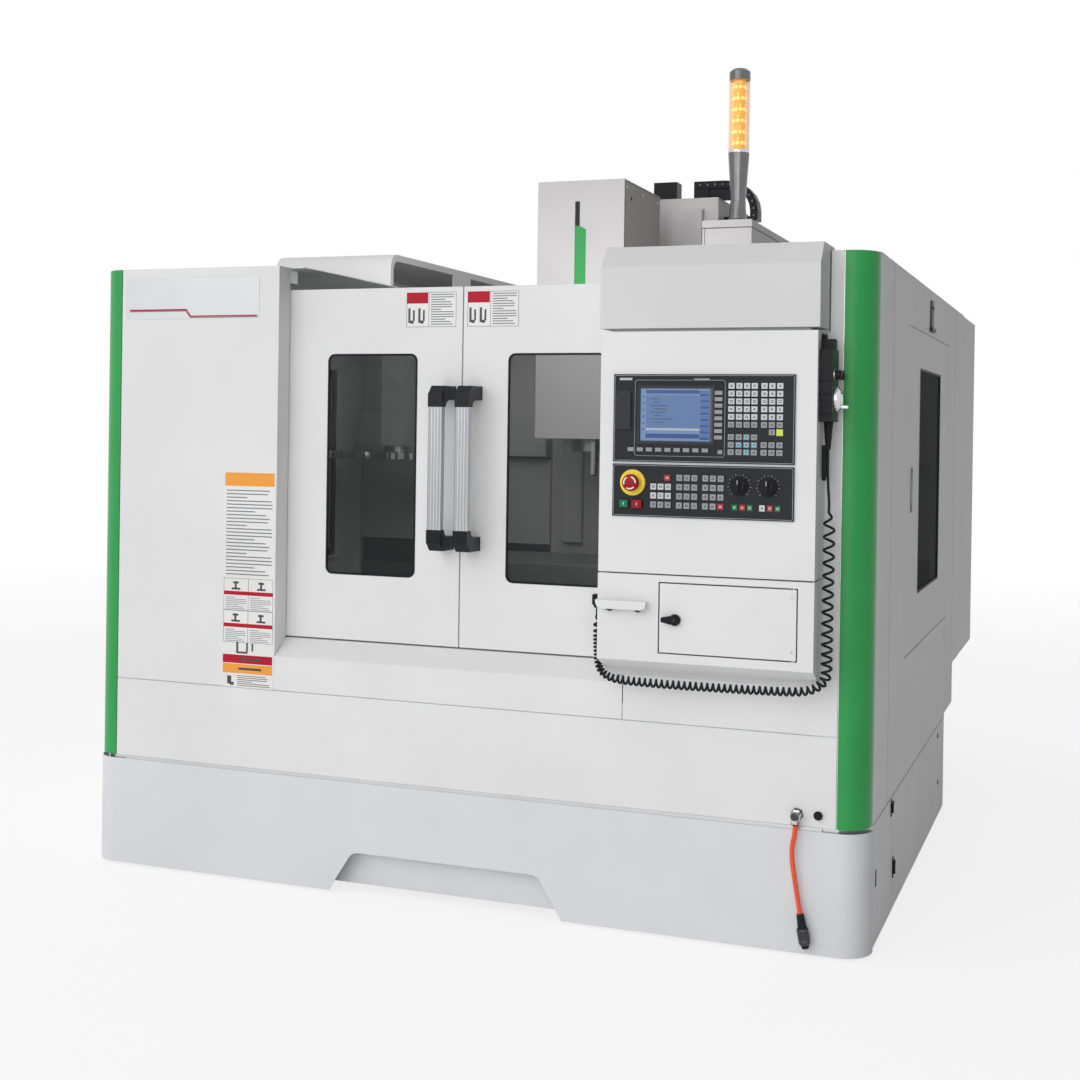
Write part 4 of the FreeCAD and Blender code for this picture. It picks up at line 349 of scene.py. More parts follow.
green_key = finish("green key cap", "green_plastic", (0.012, 0.17, 0.07), 0.4, depth=0.02,
                   gloss=0.2)
lime = finish("yellow-green key cap", "key_white", (0.58, 0.70, 0.06), 0.45, depth=0.02)
cyan_key = finish("cyan key frame", "key_white", (0.04, 0.36, 0.50), 0.45, depth=0.02, gloss=0.2)
orange_print = finish("orange print", PAINT, (0.84, 0.33, 0.03), 0.5, depth=0.01)
red_print = finish("red print", PAINT, (0.44, 0.008, 0.03), 0.5, depth=0.01, gloss=0.2)
grey_print = finish("grey print", PAINT, (0.17, 0.175, 0.20), 0.5, depth=0.01)
dark_print = finish("dark print", PAINT, (0.045, 0.045, 0.05), 0.5, depth=0.01)
silver_film = finish("silver label film", PAINT, (0.60, 0.61, 0.62), 0.3, 0.35, depth=0.01,
                     stretch=(0.05, 1, 1))
label_film = finish("white label film", PAINT, (0.78, 0.78, 0.77), 0.35, depth=0.01)
hose_skin = finish("orange hose", "orange_hose", (0.80, 0.085, 0.02), 0.33, tone=0.06, patch=30,
                   grain=2, depth=0.03)
shadow = finish("dark recess", PLASTIC, (0.02, 0.02, 0.02), 0.8, depth=0.01)


RAMP_TOP = 2000


def paint_light_and_shade_by_height(material, bands):
    """Painted light and shade by height: bands are rows of (height in mm, colour) upwards."""
    nodes, links = material.node_tree.nodes, material.node_tree.links
    where, split = add_node(nodes, "TexCoord"), add_node(nodes, "SeparateXYZ")
    span = add_node(nodes, "MapRange", {"From Max": RAMP_TOP / METRE})
    ramp = add_node(nodes, "ValToRGB")
    ramp.color_ramp.interpolation = "CONSTANT"
    while len(ramp.color_ramp.elements) < len(bands):
        ramp.color_ramp.elements.new(0.5)
    for element, (height, colour) in zip(ramp.color_ramp.elements, bands):
        element.position = height / RAMP_TOP
        element.color = (*colour, 1)
    links.new(where.outputs["Object"], split.inputs["Vector"])
    links.new(split.outputs["Z"], span.inputs["Value"])
    links.new(span.outputs["Result"], ramp.inputs["Fac"])
    links.new(ramp.outputs["Color"], nodes["Principled BSDF"].inputs["Base Color"])


# Painted light and shade on the chamber walls: pale bands where they are lit, dark bands where they
# lie in shade, and two thin dark lines.
paint_light_and_shade_by_height(chamber_light_and_shade, [
    (0, (0.14, 0.15, 0.15)), (700, (0.05, 0.055, 0.055)), (785, (0.56, 0.58, 0.57)),
    (1084, (0.03, 0.03, 0.03)), (1088, (0.58, 0.59, 0.58)), (1236, (0.03, 0.03, 0.03)),
    (1241, (0.62, 0.62, 0.60))])
print("finishes", len(bpy.data.materials))


# %% [markdown]
# Three finishes need more than the common recipe. The tinted panes let a part of the light through.
# The beacon's lamps glow behind a clear amber tube; the tube and the lamps' board glow a little
# too, as painted light. The screen shows fields of colour, lit from inside.

# %% Panes, lens and screen
def pane_finish(name, gloss, alpha):
    material, nodes, links, shader = new_material(name, (0.02, 0.024, 0.024), 0.04, 0,
                                                  "dark_window")
    set_inputs(shader, {"Alpha": alpha, "Specular IOR Level": gloss})
    vary_rough(nodes, links, shader, noise(nodes, links, 90), 0.03, 0.08)
    return material


def glowing_finish(name, slot, colour, glow, rough, patch, spread, alpha):
    """A finish that gives off a little light of its own colour."""
    material, nodes, links, shader = new_material(name, colour, rough, 0, slot)
    set_inputs(shader, {"Alpha": alpha, "Emission Color": (*colour, 1), "Emission Strength": glow})
    vary_rough(nodes, links, shader, noise(nodes, links, patch), *spread)
    return material


def lens_finish(name, colour, glow, alpha=1.0):
    return glowing_finish(name, "amber_lens", colour, glow, 0.22, 3, (0.15, 0.32), alpha)


def screen_finish(name, colour, glow=0.4):
    return glowing_finish(name, "slate_panel", colour, glow, 0.12, 40, (0.1, 0.2), 1.0)


pane = pane_finish("tinted pane", 0.22, 0.36)
side_pane = pane_finish("dark tinted pane", 0.0001, 0.76)
# The lens tube and the lamp board glow though they are no lamps: painted light.
amber = lens_finish("amber lens", (0.88, 0.42, 0.05), 0.15, 0.42)
amber_lamp = lens_finish("amber lamp row", (1.0, 0.80, 0.34), 1.0)
lamp_board = lens_finish("amber lamp board", (0.86, 0.50, 0.12), 0.5)
blue = screen_finish("screen blue", (0.03, 0.085, 0.24))
deep_blue = screen_finish("screen deep blue", (0.008, 0.035, 0.15))
pale_blue = screen_finish("screen pale blue", (0.09, 0.16, 0.31))
screen_dark = screen_finish("screen border", (0.03, 0.035, 0.05), 0.1)

# %% [markdown]
# The camera stands where the photograph was taken: 1.56 m right of the middle and 3.47 m in front,
# at a height of 1.18 m, turned 20.8 degrees to the left. The small shift is the picture's crop.

# %% Camera
YAW, PITCH, ROLL = math.radians(20.7505), math.radians(0.2542), math.radians(-0.8385)
CAMERA_PLACE = (1.5566, -4.6209, 1.1835)
PICTURE, FOCAL_PIXELS, CENTRE_DOWN = 1080, 1534.34, 437.27
forward = Vector((-math.sin(YAW) * math.cos(PITCH), math.cos(YAW) * math.cos(PITCH),
                  -math.sin(PITCH)))
right = Vector((math.cos(YAW), math.sin(YAW), 0))
down = forward.cross(right)
right, down = (right * math.cos(ROLL) + down * math.sin(ROLL),
               down * math.cos(ROLL) - right * math.sin(ROLL))
camera_data = bpy.data.cameras.new("camera")
camera_data.sensor_width = 36
camera_data.lens = FOCAL_PIXELS / PICTURE * camera_data.sensor_width
camera_data.shift_y = (CENTRE_DOWN - PICTURE / 2) / PICTURE
camera = bpy.data.objects.new("camera", camera_data)
bpy.context.collection.objects.link(camera)
turned = Matrix((right, -down, -forward)).transposed().to_4x4()
camera.matrix_world = Matrix.Translation(CAMERA_PLACE) @ turned
bpy.context.scene.camera = camera

# %% [markdown]
# A pale floor that fades into a pale surround, one large soft light high on the left and a weaker
# one from the front. The surround is dimmer on the right, which gives the right side its shade. A
# small work lamp lights the chamber.

# %% Floor, surround and lights
FADE_START, FADE_END, FLOOR_RADIUS = 3.5, 9, 9.5
PAPER_SHARE, WHITE_LIGHT = 0.8, (1, 1, 1, 1)


def rays_that_see(nodes, links):
    """1 for the rays that look at a surface: the camera's, and those in gloss and through glass."""
    rays = add_node(nodes, "LightPath")
    seen = rays.outputs["Is Camera Ray"]
    for kind in ("Is Glossy Ray", "Is Transmission Ray"):
        either = add_node(nodes, "Math", operation="MAXIMUM")
        links.new(seen, either.inputs[0])
        links.new(rays.outputs[kind], either.inputs[1])
        seen = either.outputs["Value"]
    return seen


def build_floor():
    material, nodes, links, shader = new_material("pale floor", (0.86, 0.86, 0.86), 0.6)
    where = add_node(nodes, "TexCoord")
    length = add_node(nodes, "VectorMath", operation="LENGTH")
    fade = add_node(nodes, "MapRange",
                    {"From Min": FADE_START, "From Max": FADE_END, "To Min": 1, "To Max": 0})
    links.new(where.outputs["Object"], length.inputs[0])
    links.new(length.outputs["Value"], fade.inputs["Value"])
    links.new(fade.outputs["Result"], shader.inputs["Alpha"])
    paper, mix = add_node(nodes, "Emission"), add_node(nodes, "MixShader")
    share = add_node(nodes, "Math", {1: PAPER_SHARE}, operation="MULTIPLY")
    links.new(rays_that_see(nodes, links), share.inputs[0])
    links.new(share.outputs["Value"], mix.inputs["Fac"])
    links.new(shader.outputs["BSDF"], mix.inputs[1])
    links.new(paper.outputs["Emission"], mix.inputs[2])
    links.new(mix.outputs["Shader"], nodes["Material Output"].inputs["Surface"])
    bm = bmesh.new()
    bmesh.ops.create_circle(bm, cap_ends=True, radius=FLOOR_RADIUS, segments=64)
    mesh = bpy.data.meshes.new("floor")
    bm.to_mesh(mesh)
    bm.free()
    mesh.materials.append(material)
    floor = bpy.data.objects.new("floor", mesh)
    floor.location.z = -0.001
    bpy.context.collection.objects.link(floor)


def build_surround():
    world = bpy.data.worlds.new("surround")
    bpy.context.scene.world = world
    world.use_nodes = True
    nodes, links = world.node_tree.nodes, world.node_tree.links
    where, split = add_node(nodes, "TexCoord"), add_node(nodes, "SeparateXYZ")
    dim = add_node(nodes, "MapRange",
                   {"From Min": -0.05, "From Max": 0.55, "To Min": 0.84, "To Max": 0.04},
                   interpolation_type="SMOOTHSTEP")
    links.new(where.outputs["Generated"], split.inputs["Vector"])
    links.new(split.outputs["X"], dim.inputs["Value"])
    links.new(dim.outputs["Result"], nodes["Background"].inputs["Strength"])
    set_inputs(nodes["Background"], {"Color": WHITE_LIGHT})
    paper = add_node(nodes, "Background", {"Color": WHITE_LIGHT, "Strength": 1})
    mix = add_node(nodes, "MixShader")
    links.new(rays_that_see(nodes, links), mix.inputs["Fac"])
    links.new(nodes["Background"].outputs["Background"], mix.inputs[1])
    links.new(paper.outputs["Background"], mix.inputs[2])
    links.new(mix.outputs["Shader"], nodes["World Output"].inputs["Surface"])


def add_light(name, place, aim, size, power):
    light = bpy.data.lights.new(name, "AREA")
    light.size = size
    light.energy = power
    lamp = bpy.data.objects.new(name, light)
    lamp.location = place
    lamp.rotation_euler = (Vector(aim) - Vector(place)).to_track_quat("-Z", "Y").to_euler()
    bpy.context.collection.objects.link(lamp)


build_floor()
build_surround()
add_light("soft key", (-1.9, -7.0, 3.6), (0, -0.8, 0.9), 5.5, 118)
add_light("front fill", (1.8, -6.5, 1.6), (0.4, -1, 0.4), 3.0, 58)
add_light("chamber work lamp", (0.1, -0.9, 1.5), (0.0, 0.1, 0.9), 0.45, 4)
bpy.context.scene.view_settings.view_transform = "Standard"

# %% [markdown]
# The cords come first, because they decide whether the model keeps inside its box. The curly cord
# is one wire, 6 mm thick. Its middle line is a smooth curve through the route's points; the wire
# then winds round that line. The pitch is wide down the pod's right side, where its own weight
# opens the curls, and close along the foot and up the left side, where it lies slack. The last
# curls open out before the gland.

# %% Cord helpers
def nurbs_curve(name, points, resolution):
    """A curve whose one NURBS line has these control points, in metres."""
    curve = bpy.data.curves.new(name, "CURVE")
    curve.dimensions = "3D"
    line = curve.splines.new("NURBS")
    line.points.add(len(points) - 1)
    for spot, point in zip(line.points, points):
        spot.co = (*point, 1)
    line.order_u = 3
    line.use_endpoint_u = True
    line.resolution_u = resolution
    return curve


def smooth_line(points):
    """The points, in metres, of the smooth line that a route's points control."""
    curve = nurbs_curve("route", points, 24)
    bare = bpy.data.objects.new("route", curve)
    mesh = bpy.data.meshes.new_from_object(bare)
    found = [v.co.copy() for v in mesh.vertices]
    bpy.data.objects.remove(bare)
    bpy.data.curves.remove(curve)
    bpy.data.meshes.remove(mesh)
    return found


def cord_curve(name, points, diameter, material, body, resolution):
    """A round cord along a NURBS line."""
    curve = nurbs_curve(name, points, resolution)
    curve.bevel_depth = diameter / 2
    curve.bevel_resolution = 3
    curve.use_fill_caps = True
    curve.materials.append(material)
    thing = bpy.data.objects.new(name, curve)
    bpy.context.collection.objects.link(thing)
    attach(thing, body)
    return thing


def read_table(table, place):
    """The value of a table of (place, value) rows at a place, with straight lines between rows."""
    for (low, first), (high, second) in zip(table, table[1:]):
        if place <= high:
            return first + (second - first) * max(0, place - low) / (high - low)
    return table[-1][1]


# %% Curly cord
CORD_DEPTH = -58
WIRE = 6
ROUTE = [(948, 1152), (948, 1082), (954, 1002), (952, 756), (952, 666), (952, 640), (924, 612),
         (862, 604), (488, 601), (423, 614), (413, 668), (413, 779)]
CURL_PITCH = [(136, 31), (330, 27), (490, 20), (520, 15), (620, 13.5), (940, 13.5), (1010, 13),
              (1050, 9), (1130, 8.6), (1180, 22)]
CURL_RADIUS = [(136, 11.5), (490, 11), (540, 8.2), (1000, 8.2), (1050, 6.8), (1180, 6.6)]
CURL_START, CURL_END_LEAD = 136, 22
TURN_STEPS, LAST_CURLS = 14, 1.6


def wound_points(line, start, stop):
    """Control points that wind round a line between two distances along it, in mm."""
    along = [0.0]
    for here, after in zip(line, line[1:]):
        along.append(along[-1] + (after - here).length * METRE)
    across = Vector((0, 1, 0))
    points, place, turns, k = [], start, 0.0, 0
    while place < stop:
        while along[k + 1] < place:
            k += 1
        share = (place - along[k]) / (along[k + 1] - along[k])
        centre = line[k].lerp(line[k + 1], share)
        side = across.cross(line[k + 1] - line[k]).normalized()
        pitch = read_table(CURL_PITCH, place)
        ease = min(1, (place - start) / pitch, (stop - place) / pitch / LAST_CURLS)
        radius = read_table(CURL_RADIUS, place) * ease / METRE
        turn = 2 * math.pi * turns
        points.append(centre + side * radius * math.cos(turn) + across * radius * math.sin(turn))
        turns += 1 / TURN_STEPS
        place += pitch / TURN_STEPS
    return points, turns


middle_line = smooth_line([at(x, CORD_DEPTH, z) for x, z in ROUTE])
route_length = sum((b - a).length for a, b in zip(middle_line, middle_line[1:])) * METRE
curls, turns = wound_points(middle_line, CURL_START, route_length - CURL_END_LEAD)
plain_top = [at(x, CORD_DEPTH, z) for x, z in ((948, 1152), (948, 1112), (949, 1072), (952, 1042))]
wire_points = plain_top + curls + [at(413, CORD_DEPTH, z) for z in (758, 768, 779)]
curly = cord_curve("curly_cord_wire", wire_points, WIRE / METRE, cord_skin, "machine", 3)
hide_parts("curly_cord", "cord_dense_run")
print("curls", round(turns, 1), "route", round(route_length), "points", len(wire_points))

# %% [markdown]
# The air hose is a short orange tube that hangs from an elbow on the base and ends in a quick
# coupler. It bends a little to one side, as a hose does that was wound up before.

# %% Air hose and its coupler
ELBOW = (880, -20, 320)
HOSE_ROUTE = [(0, -18), (0, -42), (-7, -70), (-6, -104), (1, -146), (8, -186), (14, -220)]
hose_points = [at(ELBOW[0] + right, ELBOW[1], ELBOW[2] + up) for right, up in HOSE_ROUTE]
hose_way = (hose_points[-1] - hose_points[-2]).normalized()
bm = bmesh.new()
hose_end = (ELBOW[0] + HOSE_ROUTE[-1][0], ELBOW[1], ELBOW[2] + HOSE_ROUTE[-1][1])
sleeve_rows = [(0, 6.2), (0, 8), (3, 8.4), (26, 9.8), (30, 10.2), (33, 12.6)]
add_turned(bm, hose_end, hose_way, sleeve_rows, 28, 0)
grip_rows = [(33, 12.6), (35, 13.4)]
for ring in range(5):
    grip_rows += [(36 + ring * 4.4, 13.4), (38.4 + ring * 4.4, 13.4), (39 + ring * 4.4, 12.6),
                  (40 + ring * 4.4, 12.6)]
grip_rows += [(60, 13.4), (66, 13), (69, 11.6), (70, 9)]
add_turned(bm, hose_end, hose_way, grip_rows, 28, 1)
nose_rows = [(70, 9), (75, 8.6), (77.6, 7.6), (77.6, 4.5), (72, 4.2)]
add_turned(bm, hose_end, hose_way, nose_rows, 28, 0)
coupler = finish_mesh("air_coupler_grip", bm, [rubber, dark_metal], "machine", 0.3)
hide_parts("air_coupler")
orange = cord_curve("air_hose_tube", hose_points, 0.011, hose_skin, "machine", 10)
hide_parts("air_hose")
print("hose points", len(hose_points))

# %% [markdown]
# Small things that come back all over the machine: round-head screws with a socket, flat frames
# such as window gaskets, and thin printed fields. Each gets one helper here.

# %% Screws, frames and printed fields
def add_screw(bm, place, axis, radius=4, height=2.5, index=0):
    """A round-head screw with a socket, its head standing out along the axis."""
    rows = [(-0.5, radius), (height * 0.4, radius), (height, radius * 0.62),
            (height, radius * 0.42), (height * 0.35, radius * 0.4), (height * 0.35, 0)]
    add_turned(bm, place, axis, rows, 12, index)


def screws(name, places, axis, body, radius=4, material=None):
    """One piece that holds a set of like screws."""
    bm = bmesh.new()
    for place in places:
        add_screw(bm, place, axis, radius)
    finish_mesh(name, bm, material or steel, body)


def add_frame(bm, outer, inner, axis, low, high, index=0):
    """A flat frame between two outlines with as many points each."""
    rings = [[bm.verts.new(point_across(axis, u, v, w)) for u, v in outline]
             for outline, w in ((outer, low), (inner, low), (inner, high), (outer, high))]
    count = len(outer)
    for first, second in zip(rings, rings[1:] + rings[:1]):
        for i in range(count):
            j = (i + 1) % count
            give_material([bm.faces.new([first[i], first[j], second[j], second[i]])], index)


FILM_RISE, PRINT_RISE, LAYER_RISE, FILM_SINK = 0.25, 0.12, 0.002, 0.2


def printed(name, fields, materials, depth, body):
    """Fields of colour on a face that looks forward: rows of (left, bottom, right, top, index)."""
    bm = bmesh.new()
    for layer, (left, bottom, right, top, index) in enumerate(fields):
        out = depth - FILM_RISE - (PRINT_RISE if index else 0) - LAYER_RISE * layer
        add_box(bm, (left, out, bottom), (right, depth + FILM_SINK, top), index)
    finish_mesh(name, bm, materials, body)


# %% [markdown]
# The sheet-metal shell: base, walls, columns, panels, roof and rear cabinet. These are folded and
# welded sheets, so their own flat shapes are right and only want soft edges and powder coat.

# %% Shell panels
for names, material, edge in (
    ("base_front_panel", base_paint, 1.3), ("left_side_wall right_side_wall", white, 1.3),
    ("left_corner_column right_corner_column", green, 1.0),
    ("front_left_panel front_right_panel front_lower_panel front_sill_panel roof_panels "
     "electrical_cabinet cabinet_door_left cabinet_door_right", white, 1.3),
    ("magazine_cover", white, 1.0), ("cable_duct", shaded_head_paint, 1.3),
    ("left_door right_door left_side_door right_side_door control_box", white, 1.3),
    ("control_hood", shaded_hood_paint, 1.3), ("control_lower_box", white, 1.3),
    ("service_door", white, 1.2), ("head_cover", shaded_head_paint, 1.3), ("enclosure_frame", steel, 0.8),
    ("chamber_linings", chamber_light_and_shade, 0.8), ("bed_casting", casting, 3), ("column", shaded_head_paint, 3),
    ("saddle", casting, 2), ("head_casting", shaded_head_paint, 2), ("table", ground, 1),
    ("way_cover_middle levelling_feet", steel, 0.6), ("spindle tool_carousel", ground, 0.8),
    ("magazine_carriage", casting, 1), ("cable_carriers", black, 0.8), ("air_fitting", chrome, 0.4),
    ("left_door_glass right_door_glass", pane, 0),
    ("left_side_glass right_side_glass", side_pane, 0),
    ("operator_panels", slate, 0.8), ("beacon_pole", satin, 0.5), ("pendant_body", black, 1.2),
):
    for name in names.split():
        dress(name, material, edge)

# %% [markdown]
# Each window has a thin rubber gasket round its pane. It is a frame between two rounded rectangles,
# so its corners follow the window's.

# %% Window gaskets
DOOR_PLANE, SIDE_FACE, PANE_LAP = 60, 1040, 15
WINDOW_LOW, WINDOW_HIGH = 805, 1373
for name, left, right in (("left_door", -371, -117), ("right_door", 133, 387)):
    bm = bmesh.new()
    outer = rounded(left - 1, WINDOW_LOW - 1, right + 1, WINDOW_HIGH + 1, 19, 6)
    inner = rounded(left + 4, WINDOW_LOW + 4, right - 4, WINDOW_HIGH - 4, 14, 6)
    add_frame(bm, outer, inner, "y", DOOR_PLANE - 0.8, DOOR_PLANE + 3)
    finish_mesh(name + "_gasket", bm, rubber, name + "_body", 0.4)
for name, sign in (("left_side_door", -1), ("right_side_door", 1)):
    _, _, front, rear, bottom, top = edges_of(name.replace("door", "glass"))
    front, rear, bottom, top = front + PANE_LAP, rear - PANE_LAP, bottom + PANE_LAP, top - PANE_LAP
    bm = bmesh.new()
    outer = rounded(front - 1, bottom - 1, rear + 1, top + 1, 4, 3)
    inner = rounded(front + 5, bottom + 5, rear - 5, top - 5, 3, 3)
    add_frame(bm, outer, inner, "x", sign * (SIDE_FACE - 3), sign * (SIDE_FACE + 0.8))
    finish_mesh(name + "_gasket", bm, rubber, name + "_body", 0.4)
print("gaskets 4")

# %% [markdown]
# The door handles are fluted aluminium bars between black moulded elbows. The bar's section is a
# rectangle with cut corners, four shallow flutes in its face, three in its rear and plain sides. It
# is drawn as an outline and stretched upwards. Dark strips of painted shade lie in the face's
# flutes.

# %% Door handles
HANDLE_LOW, HANDLE_HIGH, ELBOW_TALL = 881, 1291, 53
HANDLE_TIP = -25


def flute_outline(left, right, front, rear):
    """The bar's section, with flutes in its face and its rear."""
    points, flute, dip = [], 3.2, 1.5
    def edge(start, end, count, inward):
        for i in range(count):
            share = (i + 0.5) / count
            middle = start + (end - start) * share
            step = (end - start).normalized() * flute
            points.extend([middle - step, middle - step * 0.6 + inward * dip,
                           middle + step * 0.6 + inward * dip, middle + step])
    corner = 2
    edge(Vector((left + corner, front)), Vector((right - corner, front)), 4, Vector((0, 1)))
    points.extend([Vector((right, front + corner)), Vector((right, rear - corner))])
    edge(Vector((right - corner, rear)), Vector((left + corner, rear)), 3, Vector((0, -1)))
    points.extend([Vector((left, rear - corner)), Vector((left, front + corner))])
    return [(p.x, p.y) for p in points]


def build_handle(side):
    name = "left_door" if side < 0 else "right_door"
    left, right = edges_of(name + "_handle")[:2]
    bm = bmesh.new()
    outline = flute_outline(left + 1, right - 1, HANDLE_TIP + 0.8, HANDLE_TIP + 24)
    add_plate(bm, outline, "z", HANDLE_LOW + ELBOW_TALL - 6, HANDLE_HIGH - ELBOW_TALL + 6)
    # Dark strips of painted shade in the bottoms of the face's flutes.
    wide = (right - left - 6) / 4
    for i in range(4):
        middle = left + 3 + (i + 0.5) * wide
        add_box(bm, (middle - 1.5, HANDLE_TIP + 1.9, HANDLE_LOW + ELBOW_TALL),
                (middle + 1.5, HANDLE_TIP + 2.6, HANDLE_HIGH - ELBOW_TALL), 1)
    bar = finish_mesh(name + "_handle_bar", bm, [fluted, flute_shade], name + "_body", 0, 20)
    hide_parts(name + "_handle")
    bm = bmesh.new()
    for base, way in ((HANDLE_LOW, 1), (HANDLE_HIGH, -1)):
        profile = [(DOOR_PLANE, 0), (HANDLE_TIP + 21, 0), (HANDLE_TIP, 21),
                   (HANDLE_TIP, ELBOW_TALL), (HANDLE_TIP + 25, ELBOW_TALL),
                   (HANDLE_TIP + 29, 42), (HANDLE_TIP + 42, 35), (DOOR_PLANE, 34)]
        outline = [(depth, base + way * up) for depth, up in profile]
        add_plate(bm, outline, "x", left, right)
        collar = [(left - 0.6, DOOR_PLANE - 3), (right + 0.6, DOOR_PLANE - 3),
                  (right + 0.6, DOOR_PLANE), (left - 0.6, DOOR_PLANE)]
        add_plate(bm, collar, "z", base - way * 0.6, base + way * 34.6)
        add_screw(bm, ((left + right) / 2, HANDLE_TIP + 1, base + way * 40), "-y", 5, 1.6)
    finish_mesh(name + "_handle_elbows", bm, gloss_black, name + "_body", 1.2)


build_handle(-1)
build_handle(1)
print("handles 2")

# %% [markdown]
# The operator panel. Its face is a slate-coloured front film with raised key caps, a recessed
# screen, a hinged flap over the connectors and thin pale border lines. Places are measured right
# and down from the panel's top left corner, as on a front view of such a panel.

# %% Panel places and key caps
PANEL_LEFT, _, _, _, _, PANEL_TOP = edges_of("operator_panels")
PANEL_FACE = -114
KEY_RISE = 2


def panel_box(bm, centre, size, low, high, index=0):
    """A box on the panel: centre and size (right, down), standing from low to high off its face."""
    x, z = PANEL_LEFT + centre[0], PANEL_TOP - centre[1]
    add_box(bm, (x - size[0] / 2, PANEL_FACE - high, z - size[1] / 2),
            (x + size[0] / 2, PANEL_FACE - low, z + size[1] / 2), index)


def panel_plate(bm, outline, low, high, index=0):
    """A plate that stands from low to high off the panel's face."""
    add_plate(bm, outline, "y", PANEL_FACE - high, PANEL_FACE - low, index)


def panel_turned(bm, x, z, profile, sides, index=0):
    """A turned piece that stands out from the panel's face."""
    add_turned(bm, (x, PANEL_FACE, z), "-y", profile, sides, index)


KEY_SKINS = [key_white, key_grey, lime, green_key, red_key, cyan_key, key_print]
WHITE, GREY, LIME, GREEN, RED, CYAN, PRINT = range(7)


def key_list():
    """Rows of (right, down, width, height, cap, print) for every key."""
    keys = [(42.8 + 21.8 * i, 171.5, 15, 9, GREY, None) for i in range(9)]
    keys += [(252, 174.5, 11, 9, GREY, None)]
    keys += [(247, 41.6 + 14.3 * i, 18, 9, GREY, None) for i in range(8)]
    columns = (276.5, 294.3, 311.8, 329, 351, 368.6, 386.3)
    for column, x in enumerate(columns):
        for row in range(6):
            keys.append((x, 25.8 + 17.3 * row, 14, 13, GREY if row == 5 else WHITE, PRINT))
    keys += [(369, 128.5, 14, 13, GREY, PRINT), (386.4, 129, 15, 15, LIME, None)]
    for x in columns[:4]:
        for z in (140.2, 157.5, 174):
            keys.append((x, z, 14, 13, GREY, PRINT))
    for x in columns[4:]:
        keys += [(x, 157, 14, 13, GREY, PRINT), (x, 174, 14, 13, GREY, PRINT)]
    for i in range(3):
        for row in range(3):
            keys.append((98 + 17.2 * i, 255.5 + 20.4 * row, 14, 14, WHITE if row < 2 else GREY,
                         PRINT))
    keys += [(130.5, 235, 15, 14, RED, WHITE)]
    for start in (158.8, 219.4):
        for i in range(3):
            for row in range(4):
                cap = RED if (start, i, row) == (219.4, 2, 3) else GREY
                keys.append((start + 17.6 * i, 234.3 + 20.9 * row, 14, 14, cap,
                             PRINT if cap == GREY else WHITE))
    for x, cap, mark in ((287, GREEN, WHITE), (304.5, RED, WHITE), (321.5, GREEN, WHITE),
                         (349.3, WHITE, GREEN), (366.8, RED, WHITE), (384.4, GREEN, WHITE)):
        keys.append((x, 297.4, 13, 14, cap, mark))
    return keys


def build_keys():
    caps, prints = bmesh.new(), bmesh.new()
    arrows = {(311.8, 140.2), (294.3, 157.5), (311.8, 157.5), (329, 157.5), (311.8, 174)}
    for number, (right, down, wide, tall, cap, mark) in enumerate(key_list()):
        panel_box(caps, (right, down), (wide, tall), 0, KEY_RISE, cap)
        if (right, down) in arrows:
            panel_box(prints, (right, down), (wide - 2, tall - 2), KEY_RISE, KEY_RISE + 0.12, CYAN)
            panel_box(prints, (right, down), (wide - 6, tall - 6), KEY_RISE, KEY_RISE + 0.2, WHITE)
            panel_box(prints, (right, down), (wide - 9, tall - 9), KEY_RISE, KEY_RISE + 0.28, PRINT)
        elif mark is not None:
            wide_print, tall_print = 4.5 + number % 3, 5.5 - number % 2
            panel_box(prints, (right, down), (wide_print, tall_print), KEY_RISE, KEY_RISE + 0.12,
                      mark)
            panel_box(prints, (right, down), (wide_print - 2.6, tall_print - 2.6), KEY_RISE,
                      KEY_RISE + 0.2, cap)
    keys = finish_mesh("panel_key_caps", caps, KEY_SKINS, "machine", 0.9)
    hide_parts("panel_keys")
    finish_mesh("panel_key_prints", prints, KEY_SKINS, "machine")
    return len(key_list())


print("keys", build_keys())

# %% [markdown]
# The screen lies in a shallow recess behind a bezel. It shows plain fields: a header bar, a pale
# work area with short lines, a column of soft-key fields and a footer bar. They glow a little.

# %% Screen, flap and border lines
SCREEN_LEFT, SCREEN_TOP, SCREEN_WIDE, SCREEN_TALL = 63, 31, 170, 122


def screen_field(bm, left, top, wide, tall, index, rise):
    """A field of the screen, placed from the screen's own top left corner."""
    centre = (SCREEN_LEFT + left + wide / 2, SCREEN_TOP + top + tall / 2)
    panel_box(bm, centre, (wide, tall), -1.4, -1.4 + rise, index)


def build_screen():
    bm = bmesh.new()
    for row in ((0, 0, SCREEN_WIDE, SCREEN_TALL, 0, 0.3), (2, 2, 162, 118, 1, 0.45),
                (14, 5, 126, 8, 2, 0.55), (14, 104, 126, 10, 2, 0.55), (14, 16, 126, 74, 4, 0.5),
                (14, 92, 126, 4, 5, 0.55)):
        screen_field(bm, *row)
    for i in range(8):
        screen_field(bm, 141, 6 + i * 14, 22, 6.4, 3, 0.55)
        screen_field(bm, 141, 13 + i * 14, 22, 6, 2, 0.55)
    for i, wide in enumerate((22, 14, 44, 30, 38, 18, 52, 26)):
        screen_field(bm, 24 + 9 * (i % 2), 24 + i * 7.6, wide, 1.8, 2 if i % 3 else 0, 0.6)
    for i in range(6):
        screen_field(bm, 5, 18 + i * 15, 6, 4, 3, 0.55)
    finish_mesh("operator_screen", bm,
                [screen_dark, pale_blue, deep_blue, blue, screen_field_blue, pale_print], "machine")


